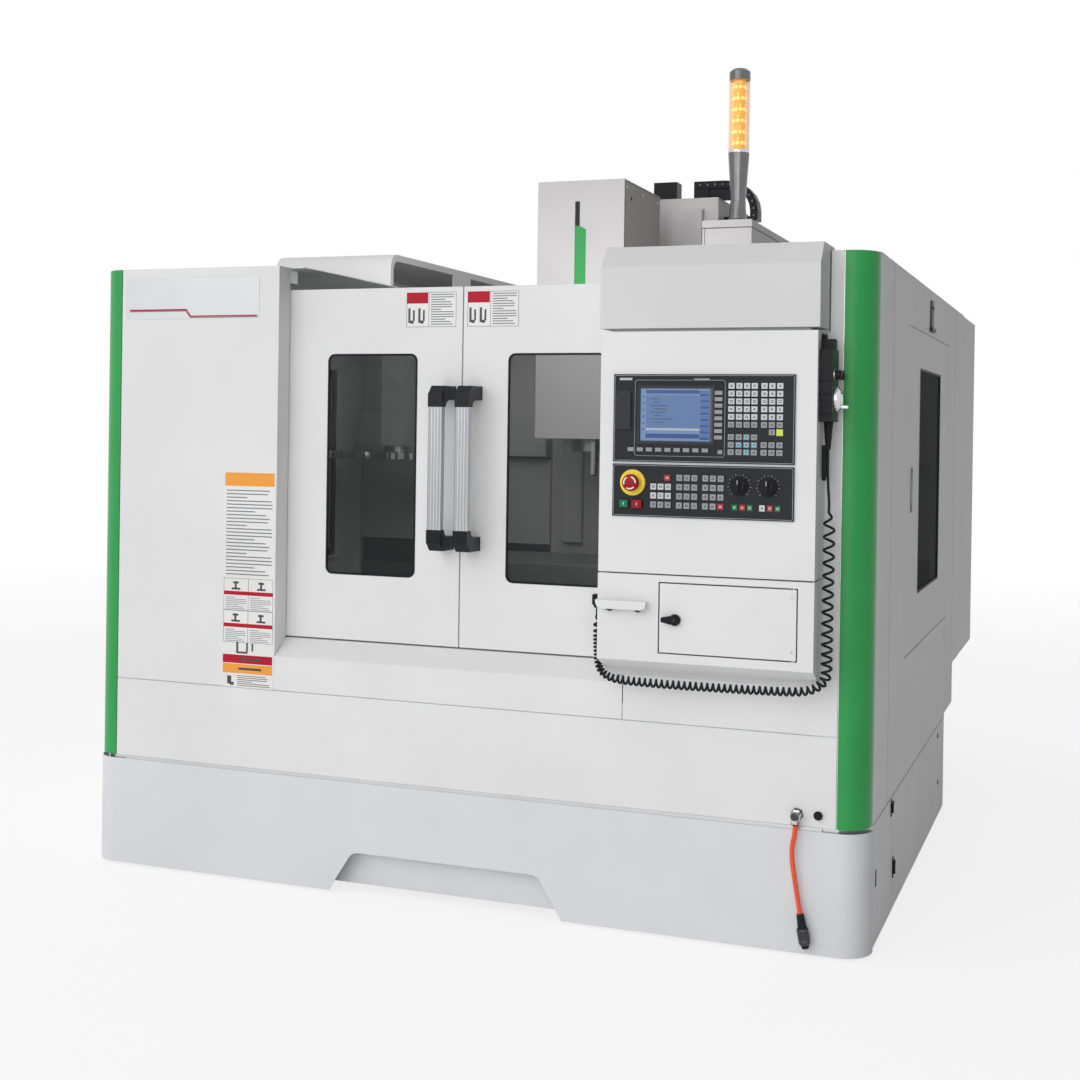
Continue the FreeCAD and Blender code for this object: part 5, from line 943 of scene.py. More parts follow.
def add_panel_frame(bm, left, top, right, bottom, thick, low, high, radius, index=0):
    """A raised frame on the panel, from its corners measured right and down."""
    x0, x1, z0, z1 = PANEL_LEFT + left, PANEL_LEFT + right, PANEL_TOP - bottom, PANEL_TOP - top
    outer = rounded(x0, z0, x1, z1, radius, 4)
    inner = rounded(x0 + thick, z0 + thick, x1 - thick, z1 - thick, max(0.4, radius - thick), 4)
    add_frame(bm, outer, inner, "y", PANEL_FACE - high, PANEL_FACE - low, index)


def build_panel_trim():
    bm = bmesh.new()
    for row in ((57, 25, 239, 159, 6, -0.2, 1.2, 5, 0), (51, 13, 262, 186, 0.7, -0.1, 0.25, 6, 1),
                (2.5, 2.5, 417.5, 197.5, 0.8, -0.1, 0.25, 3, 1),
                (2.5, 207.5, 417.5, 322.5, 0.8, -0.1, 0.25, 3, 1),
                (267, 14, 396, 184, 0.6, -0.1, 0.2, 4, 0),
                (5, 38, 42, 126, 37 / 2 - 0.1, 0, 3.2, 3, 0)):
        add_panel_frame(bm, *row)
    panel_box(bm, (40, 82), (3, 70), 3.2, 4.6, 0)
    panel_box(bm, (29, 11), (30, 5.5), 0, 0.25, 1)
    panel_box(bm, (208, 11), (36, 3), 0, 0.2, 2)
    finish_mesh("operator_panel_trim", bm, [slate_raised, pale_print, key_grey], "machine", 0.35)
    places = [(PANEL_LEFT + x, PANEL_FACE,
               PANEL_TOP - z) for x in (6.5, 413.5) for z in (6.5, 193.5, 211.5, 318.5)]
    screws("operator_panel_screws", places, "-y", "machine", 2.4, slate_raised)


screen_field_blue = screen_finish("screen work area", (0.052, 0.112, 0.235))
build_screen()
build_panel_trim()
print("screen", SCREEN_WIDE, "x", SCREEN_TALL)

# %% [markdown]
# The emergency stop is a red mushroom with three pale arcs, on a yellow disc. The start and stop
# keys beside it are square caps with round edges. The two override knobs have a grip with eight
# lobes and a white pointer, on a notched skirt in the middle of a dial of short ticks.

# %% Stop button, start and stop keys
START_PLACE, HALT_PLACE = (28.6, 295.9), (59.8, 296.2)


def middle_of(node):
    """The middle of a CAD node as seen from the front: how far right and how high."""
    left, right, _, _, bottom, top = edges_of(node)
    return (left + right) / 2, (bottom + top) / 2


stop_x, stop_z = middle_of("emergency_stop")
bm = bmesh.new()
panel_turned(bm, stop_x, stop_z,
             [(0, 30), (2.2, 30), (3.6, 28.5), (4.2, 24), (4.4, 13), (4.4, 11.8)], 48)
finish_mesh("emergency_stop_disc", bm, yellow, "machine")
bm = bmesh.new()
rows = [(-9, 10.8), (12.5, 10.8), (12.8, 15), (13.6, 18.6), (15, 19.4), (20, 19.4), (22.5, 18.6),
        (24.4, 16), (25.4, 11), (25.8, 5), (25.8, 0)]
panel_turned(bm, stop_x, stop_z, rows, 40)
for third in range(3):
    start = math.radians(120 * third)
    arc = [start + math.radians(11 * i) for i in range(8)]
    outer = [round_point(stop_x, stop_z, 15.2, turn) for turn in arc]
    inner = [round_point(stop_x, stop_z, 12.2, turn) for turn in reversed(arc)]
    panel_plate(bm, outer + inner, 24, 25.9, 1)
mushroom = finish_mesh("emergency_stop_mushroom", bm, [red, label_film], "stop_mushroom")
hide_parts("emergency_stop")
for node, body, (right, down), skin in (("start_button", "start_key", START_PLACE, green_key),
                                        ("stop_button", "stop_key", HALT_PLACE, red)):
    left, far, _, _, bottom, top = edges_of(node)
    wide, tall = far - left, top - bottom
    bm = bmesh.new()
    panel_box(bm, (right, down), (wide, tall), 2.6, 6, 0)
    panel_box(bm, (right, down), (wide - 5, tall - 5), -8.5, 3, 0)
    panel_box(bm, (right, down), (wide - 7, tall - 7), 5.8, 6.5, 0)
    panel_box(bm, (right, down), (1.6, tall * 0.36), 6.5, 6.7, 1)
    key = finish_mesh(node + "_cap", bm, [skin, label_film], body, 0.9)
    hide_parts(node)
    bm = bmesh.new()
    add_panel_frame(bm, right - wide / 2 - 2, down - tall / 2 - 2, right + wide / 2 + 2,
                    down + tall / 2 + 2, 1.7, 0, 3.4, 3, 0)
    finish_mesh(node + "_bezel", bm, black, "machine", 0.3)
print("stop button", round(stop_x), round(stop_z))


# %% Override knobs and their dials
def lobed(x, z, radius, lobes, dip):
    """Outline of a knob's grip with shallow hollows round it."""
    points = []
    count = lobes * 8
    for i in range(count):
        turn = 2 * math.pi * i / count
        reach = radius - dip * (0.5 + 0.5 * math.cos(lobes * turn))
        points.append(round_point(x, z, reach, turn))
    return points


for node, body in (("feed_knob", "feed_override"), ("speed_knob", "speed_override")):
    x, z = middle_of(node)
    bm = bmesh.new()
    panel_plate(bm, lobed(x, z, 20.5, 12, 2.4), 1.2, 9)
    panel_plate(bm, lobed(x, z, 15.5, 8, 1.2), 8.5, 14)
    panel_turned(bm, x, z, [(0.6, 21.5), (1.6, 21.5), (2.6, 19)], 32)
    panel_plate(bm, rounded(x - 3.4, z - 14, x + 3.4, z + 14, 2.5, 3), 13.5, 21)
    add_box(bm, (x - 0.7, PANEL_FACE - 21.2, z + 3), (x + 0.7, PANEL_FACE - 20.5, z + 13), 1)
    panel_turned(bm, x, z, [(-9, 4.2), (1.2, 4.2)], 16)
    knob = finish_mesh(node + "_grip", bm, [black, label_film], body, 0.7)
    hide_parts(node)
    bm = bmesh.new()
    for tick in range(15):
        turn = math.radians(225 - 270 * tick / 14)
        long = 5 if tick % 2 == 0 else 3
        way = Vector((math.cos(turn), math.sin(turn)))
        across = Vector((-way.y, way.x)) * 0.6
        start, end = way * 23, way * (22.4 + long)
        corners = (start - across, end - across, end + across, start + across)
        outline = [(x + p.x, z + p.y) for p in corners]
        panel_plate(bm, outline, -0.1, 0.25)
    finish_mesh(node + "_dial", bm, key_grey, "machine")
print("knobs 2")

# %% [markdown]
# The lower pod box: a quarter-turn latch with a wing lever, a moulded grab shelf on two dark
# feet, and the gland where the curly cord goes in.

# %% Latch, shelf and cord gland
POD_FACE, LATCH_X, LATCH_Z = -110, edges_of("service_latch")[1] - 18, middle_of("service_latch")[1]
bm = bmesh.new()
knob_rows = [(-7, 7.8), (0.4, 7.8), (0.4, 13), (3, 13.6), (8, 12.8), (12, 11), (15, 7.6), (15.6, 0)]
add_turned(bm, (LATCH_X, POD_FACE, LATCH_Z), "-y", knob_rows, 36, 0)
wing = [(LATCH_X - 30, LATCH_Z - 5), (LATCH_X - 8, LATCH_Z - 9.5), (LATCH_X + 10, LATCH_Z - 6),
        (LATCH_X + 10, LATCH_Z + 6), (LATCH_X - 8, LATCH_Z + 9.5), (LATCH_X - 30, LATCH_Z + 5)]
add_plate(bm, wing, "y", POD_FACE - 15, POD_FACE - 4, 0)
add_turned(bm, (LATCH_X, POD_FACE - 15, LATCH_Z), "-y", [(0, 4), (1, 3.6), (1, 0)], 20, 1)
latch = finish_mesh("service_latch_wing", bm, [black, slate_raised], "latch", 1.0)
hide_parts("service_latch")
bm = bmesh.new()
shelf = [(436, 782), (444, 777.5), (544, 777.5), (553, 784), (556, 798.5),
         (431.5, 798.5), (433, 790)]
add_plate(bm, shelf, "y", POD_FACE - 24.6, POD_FACE - 11.4)
finish_mesh("grab_shelf", bm, white, "machine", 3)
bm = bmesh.new()
for x in (463, 530):
    foot = [(x - 7, 785), (x - 5, 776), (x + 5, 772), (x + 8, 785)]
    add_plate(bm, foot, "y", POD_FACE - 21, POD_FACE)
finish_mesh("grab_shelf_feet", bm, black, "machine", 1.5)
bm = bmesh.new()
add_box(bm, (403.4, -67.6, 777.5), (431, -48.4, 801.6), 0)
add_turned(bm, (413, CORD_DEPTH, 777), "z", [(-7, 4.2), (-6.4, 7.5), (0, 8.6), (0.6, 8.6)], 24, 0)
finish_mesh("cord_gland", bm, black, "machine", 2)
screws("service_door_hinge_screws", [(883, POD_FACE + 0.2, z) for z in (702, 821)], "-y",
       "service_panel", 2.6)
print("latch at", round(LATCH_X), round(LATCH_Z))

# %% [markdown]
# The hand pendant hangs in a bracket on the pod's right side. Its case has a rubber grip and two
# selectors that face sideways. The hand wheel is chromed, with a knurled rim and a small crank.
# Below it the cord leaves through a tapered sleeve.

# %% Pendant details
CASE_LEFT, CASE_RIGHT, CASE_LOW, CASE_HIGH = 934, 960, 1212, 1372
CASE_FRONT, CASE_REAR, SELECTOR_Z = -97, -19, CASE_HIGH - 56
bm = bmesh.new()
for z in (1226, 1240, 1254, 1268):
    add_box(bm, (CASE_LEFT - 0.8, CASE_FRONT, z), (CASE_RIGHT + 0.3, CASE_REAR, z + 7))
add_box(bm, (CASE_LEFT - 0.8, CASE_FRONT, 1300), (CASE_RIGHT + 0.6, CASE_REAR, 1303))
finish_mesh("pendant_grip_ribs", bm, rubber, "machine", 1.0)
bm = bmesh.new()
for depth in (CORD_DEPTH - 18, CORD_DEPTH + 18):
    add_turned(bm, (CASE_RIGHT, depth, SELECTOR_Z), "x",
               [(0, 13), (3, 13), (3.4, 10.6), (18, 10), (19.6, 8), (19.6, 0)], 24, 0)
    add_turned(bm, (CASE_RIGHT + 3, depth, SELECTOR_Z), "x", [(0, 13.4), (1.8, 13.4)], 24, 1)
    add_box(bm, (CASE_RIGHT + 19.4, depth - 0.7, SELECTOR_Z + 2),
            (CASE_RIGHT + 20, depth + 0.7, SELECTOR_Z + 8), 2)
finish_mesh("pendant_selectors", bm, [black, chrome, label_film], "machine", 0.4)
wheel_low, wheel_high = edges_of("pendant_wheel")[4:]
WHEEL_X, WHEEL_Z, KNURLS = CASE_RIGHT + 1, (wheel_low + wheel_high) / 2, 45
WHEEL_RADIUS = (wheel_high - wheel_low) / 2
bm = bmesh.new()
rows = [(0, 20), (0, WHEEL_RADIUS - 2), (2, WHEEL_RADIUS), (9, WHEEL_RADIUS),
        (11, WHEEL_RADIUS - 2), (13, 21), (15, 19), (15, 14), (19, 12), (20, 7), (20, 0)]
add_turned(bm, (WHEEL_X, CORD_DEPTH, WHEEL_Z), "x", rows, 60, 0)
for i in range(KNURLS):
    turn = 2 * math.pi * i / KNURLS
    place = (WHEEL_X + 2.3, *round_point(CORD_DEPTH, WHEEL_Z, WHEEL_RADIUS - 0.3, turn))
    add_turned(bm, place, "x", [(0, 0.9), (6.4, 0.9)], 6, 0)
add_turned(bm, (CASE_RIGHT - 9, CORD_DEPTH, WHEEL_Z), "x", [(0, 4.9), (12, 4.9)], 20, 0)
crank_rows = [(0, 3), (2, 3), (2.5, 4.6), (9, 5), (16, 4.4), (18, 3.6), (19, 0)]
add_turned(bm, (WHEEL_X + 12, CORD_DEPTH, WHEEL_Z - 17), "x", crank_rows, 24, 0)
wheel = finish_mesh("pendant_wheel_knurled", bm, chrome, "handwheel", 0.3)
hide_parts("pendant_wheel")
bm = bmesh.new()
add_turned(bm, (948, CORD_DEPTH, CASE_LOW), "-z",
           [(0, 10), (4, 10.4), (8, 9.4), (12, 10), (16, 8.8), (22, 9.2), (28, 8), (36, 8),
            (44, 6.8), (52, 6.4), (60, 5.4), (60.5, 3.4)], 24, 0)
spout = [(934.5, 1160), (944.6, 1160), (944.8, 1088), (943.6, 1081), (936.4, 1081), (934.7, 1088)]
add_plate(bm, spout, "y", CORD_DEPTH - 5, CORD_DEPTH + 5, 0)
add_box(bm, (937, CORD_DEPTH - 6, 1150), (952.5, CORD_DEPTH + 6, 1158), 0)
finish_mesh("pendant_sleeve", bm, rubber, "machine", 1.2)
bm = bmesh.new()
bracket = [(-72, 1370), (-44, 1370), (-44, 1396), (-52, 1408), (-64, 1408), (-72, 1396)]
add_plate(bm, bracket, "x", 931.8, 934.2)
for depth in (-65, -51):
    add_screw(bm, (934, depth, 1402), "x", 2.6)
hook_right = edges_of("pendant_body")[0] + 28.8
add_box(bm, (931.9, -71.2, 1371), (hook_right, -44.8, 1395.2))
add_box(bm, (937, -66, 1395), (943, -50, 1406))
finish_mesh("pendant_bracket", bm, black, "machine", 0.6)
print("pendant wheel radius", round(WHEEL_RADIUS, 1))

# %% [markdown]
# The head cover stands above the roof. Its stepped slot shows green paint behind; the narrow top of
# the slot is a dark plate of painted shade. Its right side has a round hole and the thin outline
# of a lid, both drawn dark as painted shade.

# %% Head cover slot, hole and screws
HEAD_FACE, COVER_SIDE = 960, 140
bm = bmesh.new()
fill = [(-17.6, 1481), (17.6, 1481), (17.6, 1799.6), (-3.4, 1811.6), (-17.6, 1811.6)]
add_plate(bm, fill, "y", HEAD_FACE + 1.4, HEAD_FACE + 2.9, 0)
# The slot's narrow top: a dark plate of painted shade.
add_plate(bm, [(-17.6, 1811.8), (-3.4, 1811.8), (-3.4, 1885.6), (-17.6, 1885.6)], "y",
          HEAD_FACE + 1.8, HEAD_FACE + 2.9, 1)
finish_mesh("head_cover_slot_fill", bm, [green, shadow], "head")
bm = bmesh.new()
# The hole and the lid's outline are thin dark films of painted shade.
add_turned(bm, (COVER_SIDE, HEAD_FACE + 70, 1898), "x", [(0, 6.5), (0.3, 6.5), (0.3, 0)], 24, 0)
add_frame(bm, rounded(HEAD_FACE + 8, 1640, HEAD_FACE + 360, 1944, 3, 2),
          rounded(HEAD_FACE + 9, 1641, HEAD_FACE + 359, 1943, 2.5, 2), "x", COVER_SIDE - 0.2,
          COVER_SIDE + 0.35, 0)
finish_mesh("head_cover_hole", bm, shadow, "head")
for side, x, way in (("right", COVER_SIDE, "x"), ("left", -COVER_SIDE, "-x")):
    places = [(x, HEAD_FACE + along, z) for along in (20, 190, 350) for z in (1700, 1925)]
    screws("head_cover_" + side + "_screws", places, way, "head")
print("slot fill", len(fill))

# %% [markdown]
# The beacon: a clear amber tube over a slim board with six rows of lamps, on a satin taper with a
# bright ring. The lamps are small bright discs and shine a little through the tube. The tube and
# the board glow faintly as painted light.

# %% Beacon
BEACON_X, BEACON_DEPTH, LENS_LOW, LENS_TALL = 520.6, 835, 1992, 200
POLE_FOOT, RING_LOW, LAMP_ROWS, LAMPS_ROUND = 1789, 1984, 6, 8
bm = bmesh.new()
# The tube, and the lamp board below, glow faintly as painted light.
add_turned(bm, (BEACON_X, BEACON_DEPTH, LENS_LOW), "z",
           [(0, 22), (0, 29.4), (4, 29.6), (LENS_TALL - 4, 29.6), (LENS_TALL, 29.4),
            (LENS_TALL, 22)], 48, 0)
lens = finish_mesh("beacon_lens_tube", bm, amber, "machine")
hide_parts("beacon_lens")
bm = bmesh.new()
add_turned(bm, (BEACON_X, BEACON_DEPTH, LENS_LOW + 1), "z", [(0, 17), (LENS_TALL - 2, 17)], 24, 0)
for row in range(LAMP_ROWS):
    for column in range(LAMPS_ROUND):
        turn = 2 * math.pi * (column + 0.5 * (row % 2)) / LAMPS_ROUND
        way = Vector((math.cos(turn), math.sin(turn), 0))
        place = (BEACON_X + 16.5 * way.x, BEACON_DEPTH + 16.5 * way.y, LENS_LOW + 20 + row * 32)
        add_turned(bm, place, way, [(0, 5.2), (2.2, 5.2), (3.4, 3.2), (3.6, 0)], 12, 1)
        if column % 2 == 0:
            add_turned(bm, (place[0], place[1], place[2] + 12), way,
                       [(0, 2.6), (1.4, 2.6), (1.6, 0)], 8, 1)
finish_mesh("beacon_lamp_board", bm, [lamp_board, amber_lamp], "machine")
bm = bmesh.new()
add_turned(bm, (BEACON_X, BEACON_DEPTH, POLE_FOOT), "z",
           [(0, 30), (4, 30), (6, 26), (40, 22.6), (56, 22.4), (57, 21.4)], 36, 0)
add_turned(bm, (BEACON_X, BEACON_DEPTH, RING_LOW), "z",
           [(0, 30.2), (1, 30.6), (8, 30.6), (9, 30)], 48, 1)
finish_mesh("beacon_foot_ring", bm, [satin, chrome], "machine", 0.5)
print("beacon lamps", LAMP_ROWS, "rows")

# %% [markdown]
# Printed films on the real machine are a plate on the left panel, a tall sticker beside the doors
# and a small film on each door. They are fields of colour with plain lines. Each is drawn as thin
# boxes from a list of corners, with the film itself first.

# %% Printed films
def text_lines(left, right, top, bottom, count, index, thick=1.6):
    """Even lines of print of uneven length, as rows for printed()."""
    rows = []
    for i in range(count):
        z = top - (i + 0.5) * (top - bottom) / count
        length = (1, 0.94, 0.98, 0.62, 0.9, 1, 0.86, 0.45)[(i * 3 + count) % 8]
        rows.append((left, z - thick / 2, left + (right - left) * length, z + thick / 2, index))
    return rows


def outline_rows(left, bottom, right, top, thick, index):
    """Four thin fields round a rectangle."""
    return [(left, bottom, right, bottom + thick, index), (left, top - thick, right, top, index),
            (left, bottom, left + thick, top, index), (right - thick, bottom, right, top, index)]


FILM, FILM_RED, FILM_GREY, FILM_DARK, FILM_ORANGE = range(5)
FILMS = [label_film, red_print, grey_print, dark_print, orange_print]
for name, left in (("left_door", -150), ("right_door", 19)):
    fields = [(left, 1440, left + 140, 1530, FILM)]
    fields += outline_rows(left + 1, 1441, left + 139, 1529, 1.3, FILM_GREY)
    fields += [(left + 1, 1501, left + 61, 1529, FILM_RED),
               (left + 63, 1441, left + 64.2, 1529, FILM_GREY)]
    for start in (6, 34):
        fields += [(left + start, 1452, left + start + 6, 1489, FILM_DARK),
                   (left + start + 6, 1450, left + start + 15, 1458, FILM_DARK),
                   (left + start + 13, 1456, left + start + 18, 1484, FILM_DARK)]
    fields += text_lines(left + 69, left + 133, 1526, 1445, 13, FILM_GREY, 2.4)
    printed(name + "_film", fields, FILMS, DOOR_PLANE, name + "_body")

LEFT, RIGHT, MIDDLE = -641, -489, -565
fields = [(LEFT, 501, RIGHT, 1065, FILM), (LEFT + 2, 1027, RIGHT - 2, 1062, FILM_ORANGE)]
fields += text_lines(LEFT + 9, RIGHT - 9, 1049, 1038, 1, FILM, 7)
fields += text_lines(LEFT + 7, RIGHT - 7, 1020, 792, 25, FILM_GREY, 2.8)
for top in (786, 702):
    fields += outline_rows(LEFT + 2, top - 84, RIGHT - 2, top, 1.0, FILM_GREY)
    fields += [(MIDDLE - 0.6, top - 84, MIDDLE + 0.6, top, FILM_GREY),
               (LEFT + 2, top - 44, RIGHT - 2, top - 34, FILM_RED)]
    for start in (LEFT + 26, MIDDLE + 26):
        fields += [(start, top - 30, start + 26, top - 25, FILM_DARK),
                   (start + 9, top - 30, start + 15, top - 8, FILM_DARK),
                   (start + 4, top - 14, start + 21, top - 9, FILM_DARK)]
    for start in (LEFT + 8, MIDDLE + 6):
        fields += text_lines(start, start + 62, top - 48, top - 82, 7, FILM_GREY, 1.5)
fields += [(LEFT + 42, 590, LEFT + 48, 620, FILM_DARK), (LEFT + 48, 590, LEFT + 76, 595, FILM_DARK),
           (LEFT + 72, 595, LEFT + 77, 618, FILM_DARK), (LEFT + 88, 597, LEFT + 93, 617, FILM_DARK)]
fields += [(LEFT + 2, 564, RIGHT - 2, 586, FILM_RED), (LEFT + 50, 572, LEFT + 118, 578, FILM_DARK),
           (LEFT + 2, 538, RIGHT - 2, 562, FILM_ORANGE),
           (LEFT + 50, 547, LEFT + 118, 553, FILM_DARK)]
fields += [(LEFT + 16, 509, LEFT + 28, 530, FILM_DARK), (LEFT + 24, 506, LEFT + 36, 514, FILM_DARK)]
fields += text_lines(LEFT + 46, RIGHT - 8, 534, 504, 6, FILM_DARK, 1.6)
printed("front_left_panel_film", fields, FILMS, 0, "machine")


def build_plate():
    """The bare plate with its stepped red line."""
    bm = bmesh.new()
    add_plate(bm, rounded(-955, 1465, -544, 1573, 5, 4), "y", -1.2, 0.2, 0)
    for shift, index, out in ((0, 1, 1.5), (-3.4, 2, 1.45)):
        line = [(-943, 1492), (-765, 1492), (-751, 1474), (-549, 1474), (-549, 1471), (-753, 1471),
                (-767, 1488.6), (-943, 1488.6)]
        add_plate(bm, [(x, z + shift) for x, z in line], "y", -out, -1.1, index)
    finish_mesh("front_plate", bm, [silver_film, red_print, grey_print], "machine")


build_plate()
print("films 4")

# %% [markdown]
# The side walls have folded seams, a flush pull on each door, a runner bracket over it and two
# small quarter-turn latches on the access plate. The photograph shows the right side; the left one
# is its mirror. Seams are shallow grooves on the real sheet, drawn as dark lines of painted shade
# a fifth of a millimetre thick.

# %% Side walls
def off_wall(sign, low, high):
    """Two distances off a side wall as places across the machine, the smaller one first."""
    return sorted((sign * (SIDE_FACE + low), sign * (SIDE_FACE + high)))


def side_box(bm, sign, depth, height, low, high, index=0):
    """A box on a side wall: depth and height are pairs, low and high are distances off the wall."""
    first, second = off_wall(sign, low, high)
    add_box(bm, (first, depth[0], height[0]), (second, depth[1], height[1]), index)


def build_side(sign, name):
    outward = "x" if sign > 0 else "-x"
    seams = bmesh.new()
    # The seams: dark lines of painted shade.
    side_box(seams, sign, (292, 293.4), (294, 1598), 0, 0.2)
    side_box(seams, sign, (1763, 1764.4), (300, 1598), 0, 0.2)
    side_box(seams, sign, (74, 1500), (291, 293.4), 0, 0.25)
    slanted = [(368, 291), (369.6, 291), (432.6, 35), (431, 35)]
    add_plate(seams, slanted, "x", *off_wall(sign, 0, 0.25))
    finish_mesh(name + "_seams", seams, seam_shade, "machine")
    fittings = bmesh.new()
    side_box(fittings, sign, (1017, 1104), (1483, 1494), 0, 9, 0)
    side_box(fittings, sign, (1030, 1091), (1494, 1572), 0, 4, 0)
    for depth in (1042, 1079):
        add_screw(fittings, (sign * (SIDE_FACE + 4), depth, 1552), outward, 4.5, 2.5, 0)
    for depth, low_z, high_z in ((370, 246, 287), (414, 84, 135)):
        side_box(fittings, sign, (depth - 8, depth + 8), (low_z, high_z), 0, 2.6, 1)
        side_box(fittings, sign, (depth - 3, depth + 3), (low_z + 9, high_z - 9), 2.6, 7, 1)
        middle = (low_z + high_z) / 2 + 7
        add_turned(fittings, (sign * SIDE_FACE, depth + 26, middle), outward,
                   [(0, 6), (3, 6), (4.4, 3.6), (4.4, 0)], 14, 1)
    side_box(fittings, sign, (121, 131), (140, 178), 0, 1.6, 1)
    for depth, height in ((1393, 259), (1414, 112)):
        add_turned(fittings, (sign * SIDE_FACE, depth, height), outward,
                   [(0, 8), (2, 7), (2.6, 4.4), (2.6, 0)], 16, 1)
    finish_mesh(name + "_fittings", fittings, [slate_raised, black], "machine", 0.5)
    pull = bmesh.new()
    outer, inner = rounded(648, 981, 671, 1101, 6, 4), rounded(652, 986, 667, 1096, 4, 4)
    add_frame(pull, outer, inner, "x", *off_wall(sign, -0.4, 2.6))
    # A dark plate of painted shade fills the pull's recess.
    side_box(pull, sign, (651, 668), (985, 1097), -0.4, 0.3, 2)
    add_plate(pull, rounded(655.4, 1000, 663.6, 1082, 3, 3), "x", *off_wall(sign, 0.2, 2), 1)
    finish_mesh(name + "_door_pull", pull, [grey_print, satin, shadow], name + "_side_door_body",
                0.4)


# Dark lines of painted shade for the side seams and the duct lid's edges.
seam_shade = finish("seam shade", PAINT, (0.16, 0.165, 0.17), 0.7, depth=0.01, gloss=0.1)
build_side(-1, "left")
build_side(1, "right")
print("sides 2")

# %% [markdown]
# The rear cabinet's doors have rows of louvres, a swing handle each near the middle and three
# hinges at the outer edge. A louvre is pressed out of the sheet, so each is a wedge that opens
# downwards, with a dark strip of painted shade in its opening.

# %% Rear cabinet doors
REAR_FACE = 2450


def build_cabinet(sign, body):
    bm = bmesh.new()
    low, high = sorted((sign * 390, sign * 690))
    for group in (520, 1370):
        for row in range(9):
            z = group + row * 17
            wedge = [(REAR_FACE - 0.4, z), (REAR_FACE + 5.5, z),
                     (REAR_FACE + 5.5, z + 1), (REAR_FACE - 0.4, z + 11)]
            add_plate(bm, wedge, "x", low, high, 0)
            # A dark strip of painted shade in the louvre's opening.
            add_box(bm, (low + 3, REAR_FACE - 0.2, z - 0.8), (high - 3, REAR_FACE + 5, z + 0.1), 1)
    centre = sign * 62
    add_plate(bm, rounded(centre - 14, 940, centre + 14, 1090, 12, 5), "y", REAR_FACE - 0.4,
              REAR_FACE + 5, 2)
    add_plate(bm, rounded(centre - 9, 950, centre + 9, 1052, 8, 5), "y", REAR_FACE + 5,
              REAR_FACE + 13, 2)
    add_turned(bm, (centre, REAR_FACE + 5, 1070), "y", [(0, 9.5), (6, 9.5), (7, 8), (7, 0)], 24, 3)
    low, high = sorted((sign * 1014, sign * 1036))
    for z in (560, 1015, 1470):
        add_box(bm, (low, REAR_FACE - 0.4, z), (high, REAR_FACE + 7, z + 64), 2)
    finish_mesh(body + "_fittings", bm, [white, shadow, black, chrome], body, 0.4)


build_cabinet(-1, "cabinet_left")
build_cabinet(1, "cabinet_right")
print("cabinet doors 2")

# %% [markdown]
# Cable carrier. On the real one each link is a pair of side plates on pins. The CAD solid gives the
# chain's bend; here each link gets a plate and a pin on its front side, and a black cover fills the
# bow.

# %% Cable carrier links and duct lid
CARRIER_X, CARRIER_Z, CARRIER_FRONT = 290, 1970, 1600
CHAIN = ((-107, 55), (-81, 55), (-55, 55), (-29, 55), (-3, 55), (23, 53), (48, 45), (70, 31),
         (87, 12), (97, -10), (101, -34), (101, -58))
bm = bmesh.new()
for (x, z), (next_x, next_z) in zip(CHAIN, CHAIN[1:]):
    start = Vector((CARRIER_X + x, CARRIER_Z + z))
    end = Vector((CARRIER_X + next_x, CARRIER_Z + next_z))
    along = (end - start).normalized()
    across = Vector((-along.y, along.x)) * 12
    first, last = start + along * 2, end + along * 1
    outline = [first - across, last - across, last + across * 0.6,
               last - along * 4 + across, first + across]
    add_plate(bm, [(p.x, p.y) for p in outline], "y", CARRIER_FRONT - 2.5, CARRIER_FRONT, 0)
    add_turned(bm, (end.x - along.x * 4, CARRIER_FRONT - 2.5, end.y - along.y * 4), "-y",
               [(0, 5), (1.4, 5), (2, 3.8), (2, 0)], 12, 1)
cover = [(183.5, 1970.5), (183.5, 2012), (300, 2012), (330, 2006), (350, 1992), (358, 1970.5)]
add_plate(bm, cover, "y", CARRIER_FRONT + 6, CARRIER_FRONT + 10, 0)
finish_mesh("cable_carrier_links", bm, [black, dark_metal], "machine", 0.5)
left, right, front, _, _, top = edges_of("cable_duct")
bm = bmesh.new()
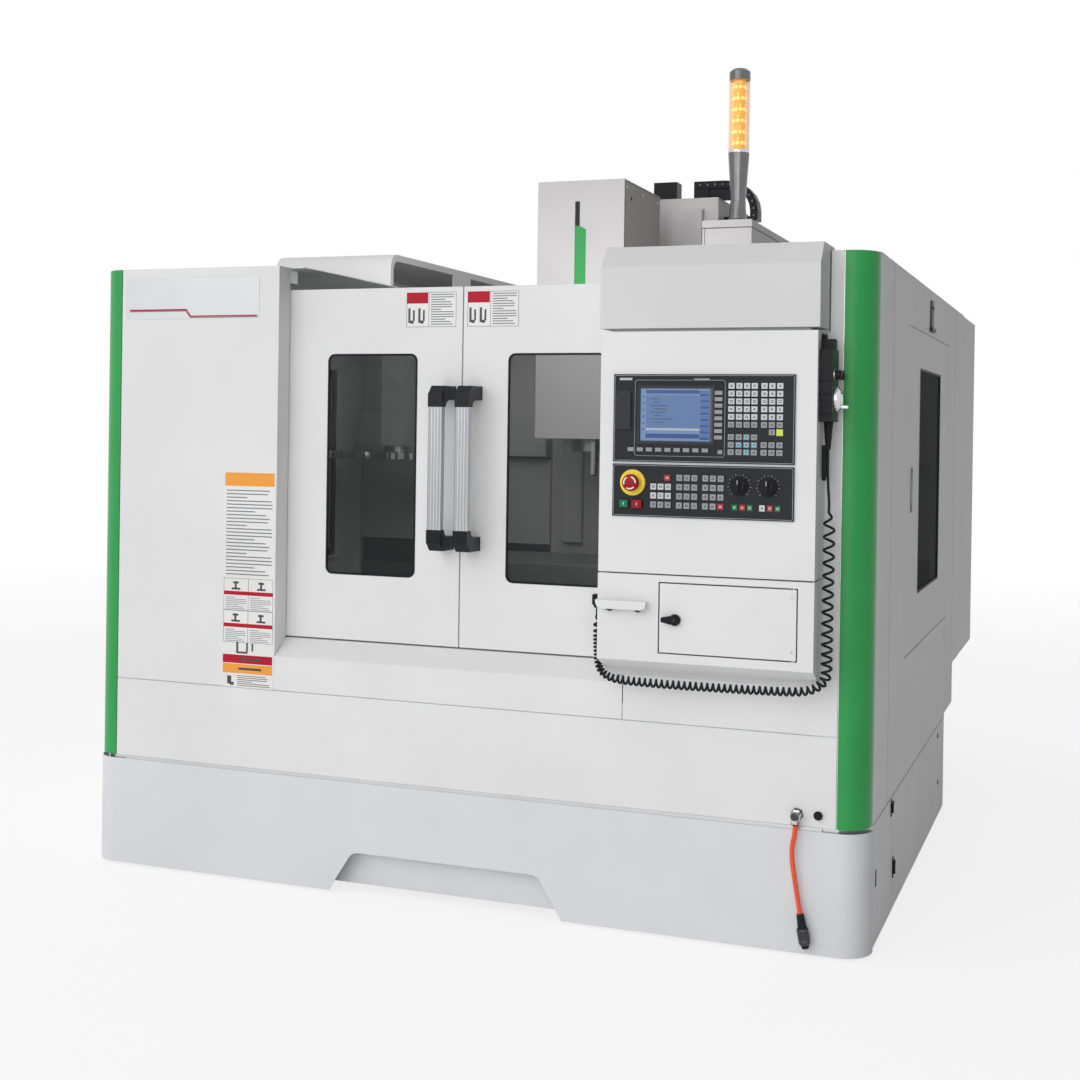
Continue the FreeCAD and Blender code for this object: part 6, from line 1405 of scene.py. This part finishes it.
add_box(bm, (left - 0.8, front - 1.2, top - 20), (right + 0.8, front + 0.6, top + 0.6), 0)
# Dark lines of painted shade under the lid, at its left seam and along its right side.
add_box(bm, (left, front - 0.4, top - 23), (right, front + 0.4, top - 20), 1)
add_box(bm, (left + 6, front - 0.3, top - 70), (left + 8, front + 0.4, top - 22), 1)
add_box(bm, (right - 0.4, front, top - 23), (right + 0.4, front + 700, top - 20), 1)
finish_mesh("cable_duct_lid", bm, [shaded_head_paint, seam_shade], "machine", 0.3)
print("chain links", len(CHAIN) - 1)

# %% [markdown]
# Small fittings on the front: the black plug beside the air hose and the hose elbow's release
# collar. Inside, coolant nozzles hang beside the spindle nose.

# %% Plug, elbow collar and nozzles
bm = bmesh.new()
add_turned(bm, (929, -6.6, 322), "-y",
           [(0, 10.4), (1.4, 10.4), (2.6, 9), (2.8, 4), (2.2, 0)], 28, 0)
finish_mesh("front_panel_plug", bm, rubber, "machine")
bm = bmesh.new()
add_turned(bm, (ELBOW[0], ELBOW[1], 303.4), "-z", [(0, 8.8), (4, 8.8), (5, 7.4), (5, 5.6)], 24, 0)
add_turned(bm, (ELBOW[0], -28.6, 320), "-y", [(0, 9.6), (1.2, 9.6), (1.8, 7), (1.8, 0)], 24, 1)
add_turned(bm, (ELBOW[0], -1, 320), "-y", [(-2, 15), (5, 15), (6, 13.6), (6, 9)], 6, 1)
finish_mesh("air_elbow_collar", bm, [red, dark_metal], "machine", 0.3)
bm = bmesh.new()
for number, (x, depth, foot) in enumerate(((42, 1004, 1046), (64, 1012, 1034), (86, 1022, 1040))):
    rows = [(0, 6.4)]
    for bead in range(6):
        base = bead * 15
        rows += [(8 + base, 6.4), (11 + base, 8.8), (18 + base, 8.8), (21 + base, 6.4)]
    rows += [(104, 6.4), (106, 10), (118, 10)]
    profile = [(0, 3), (0, 5)] + [(8 + rise, radius) for rise, radius in rows]
    add_turned(bm, (x, depth, foot), "z", profile, 16, number % 2)
finish_mesh("coolant_nozzles", bm, [slate_raised, pale_print], "head", 0.3)
print("nozzles 3")
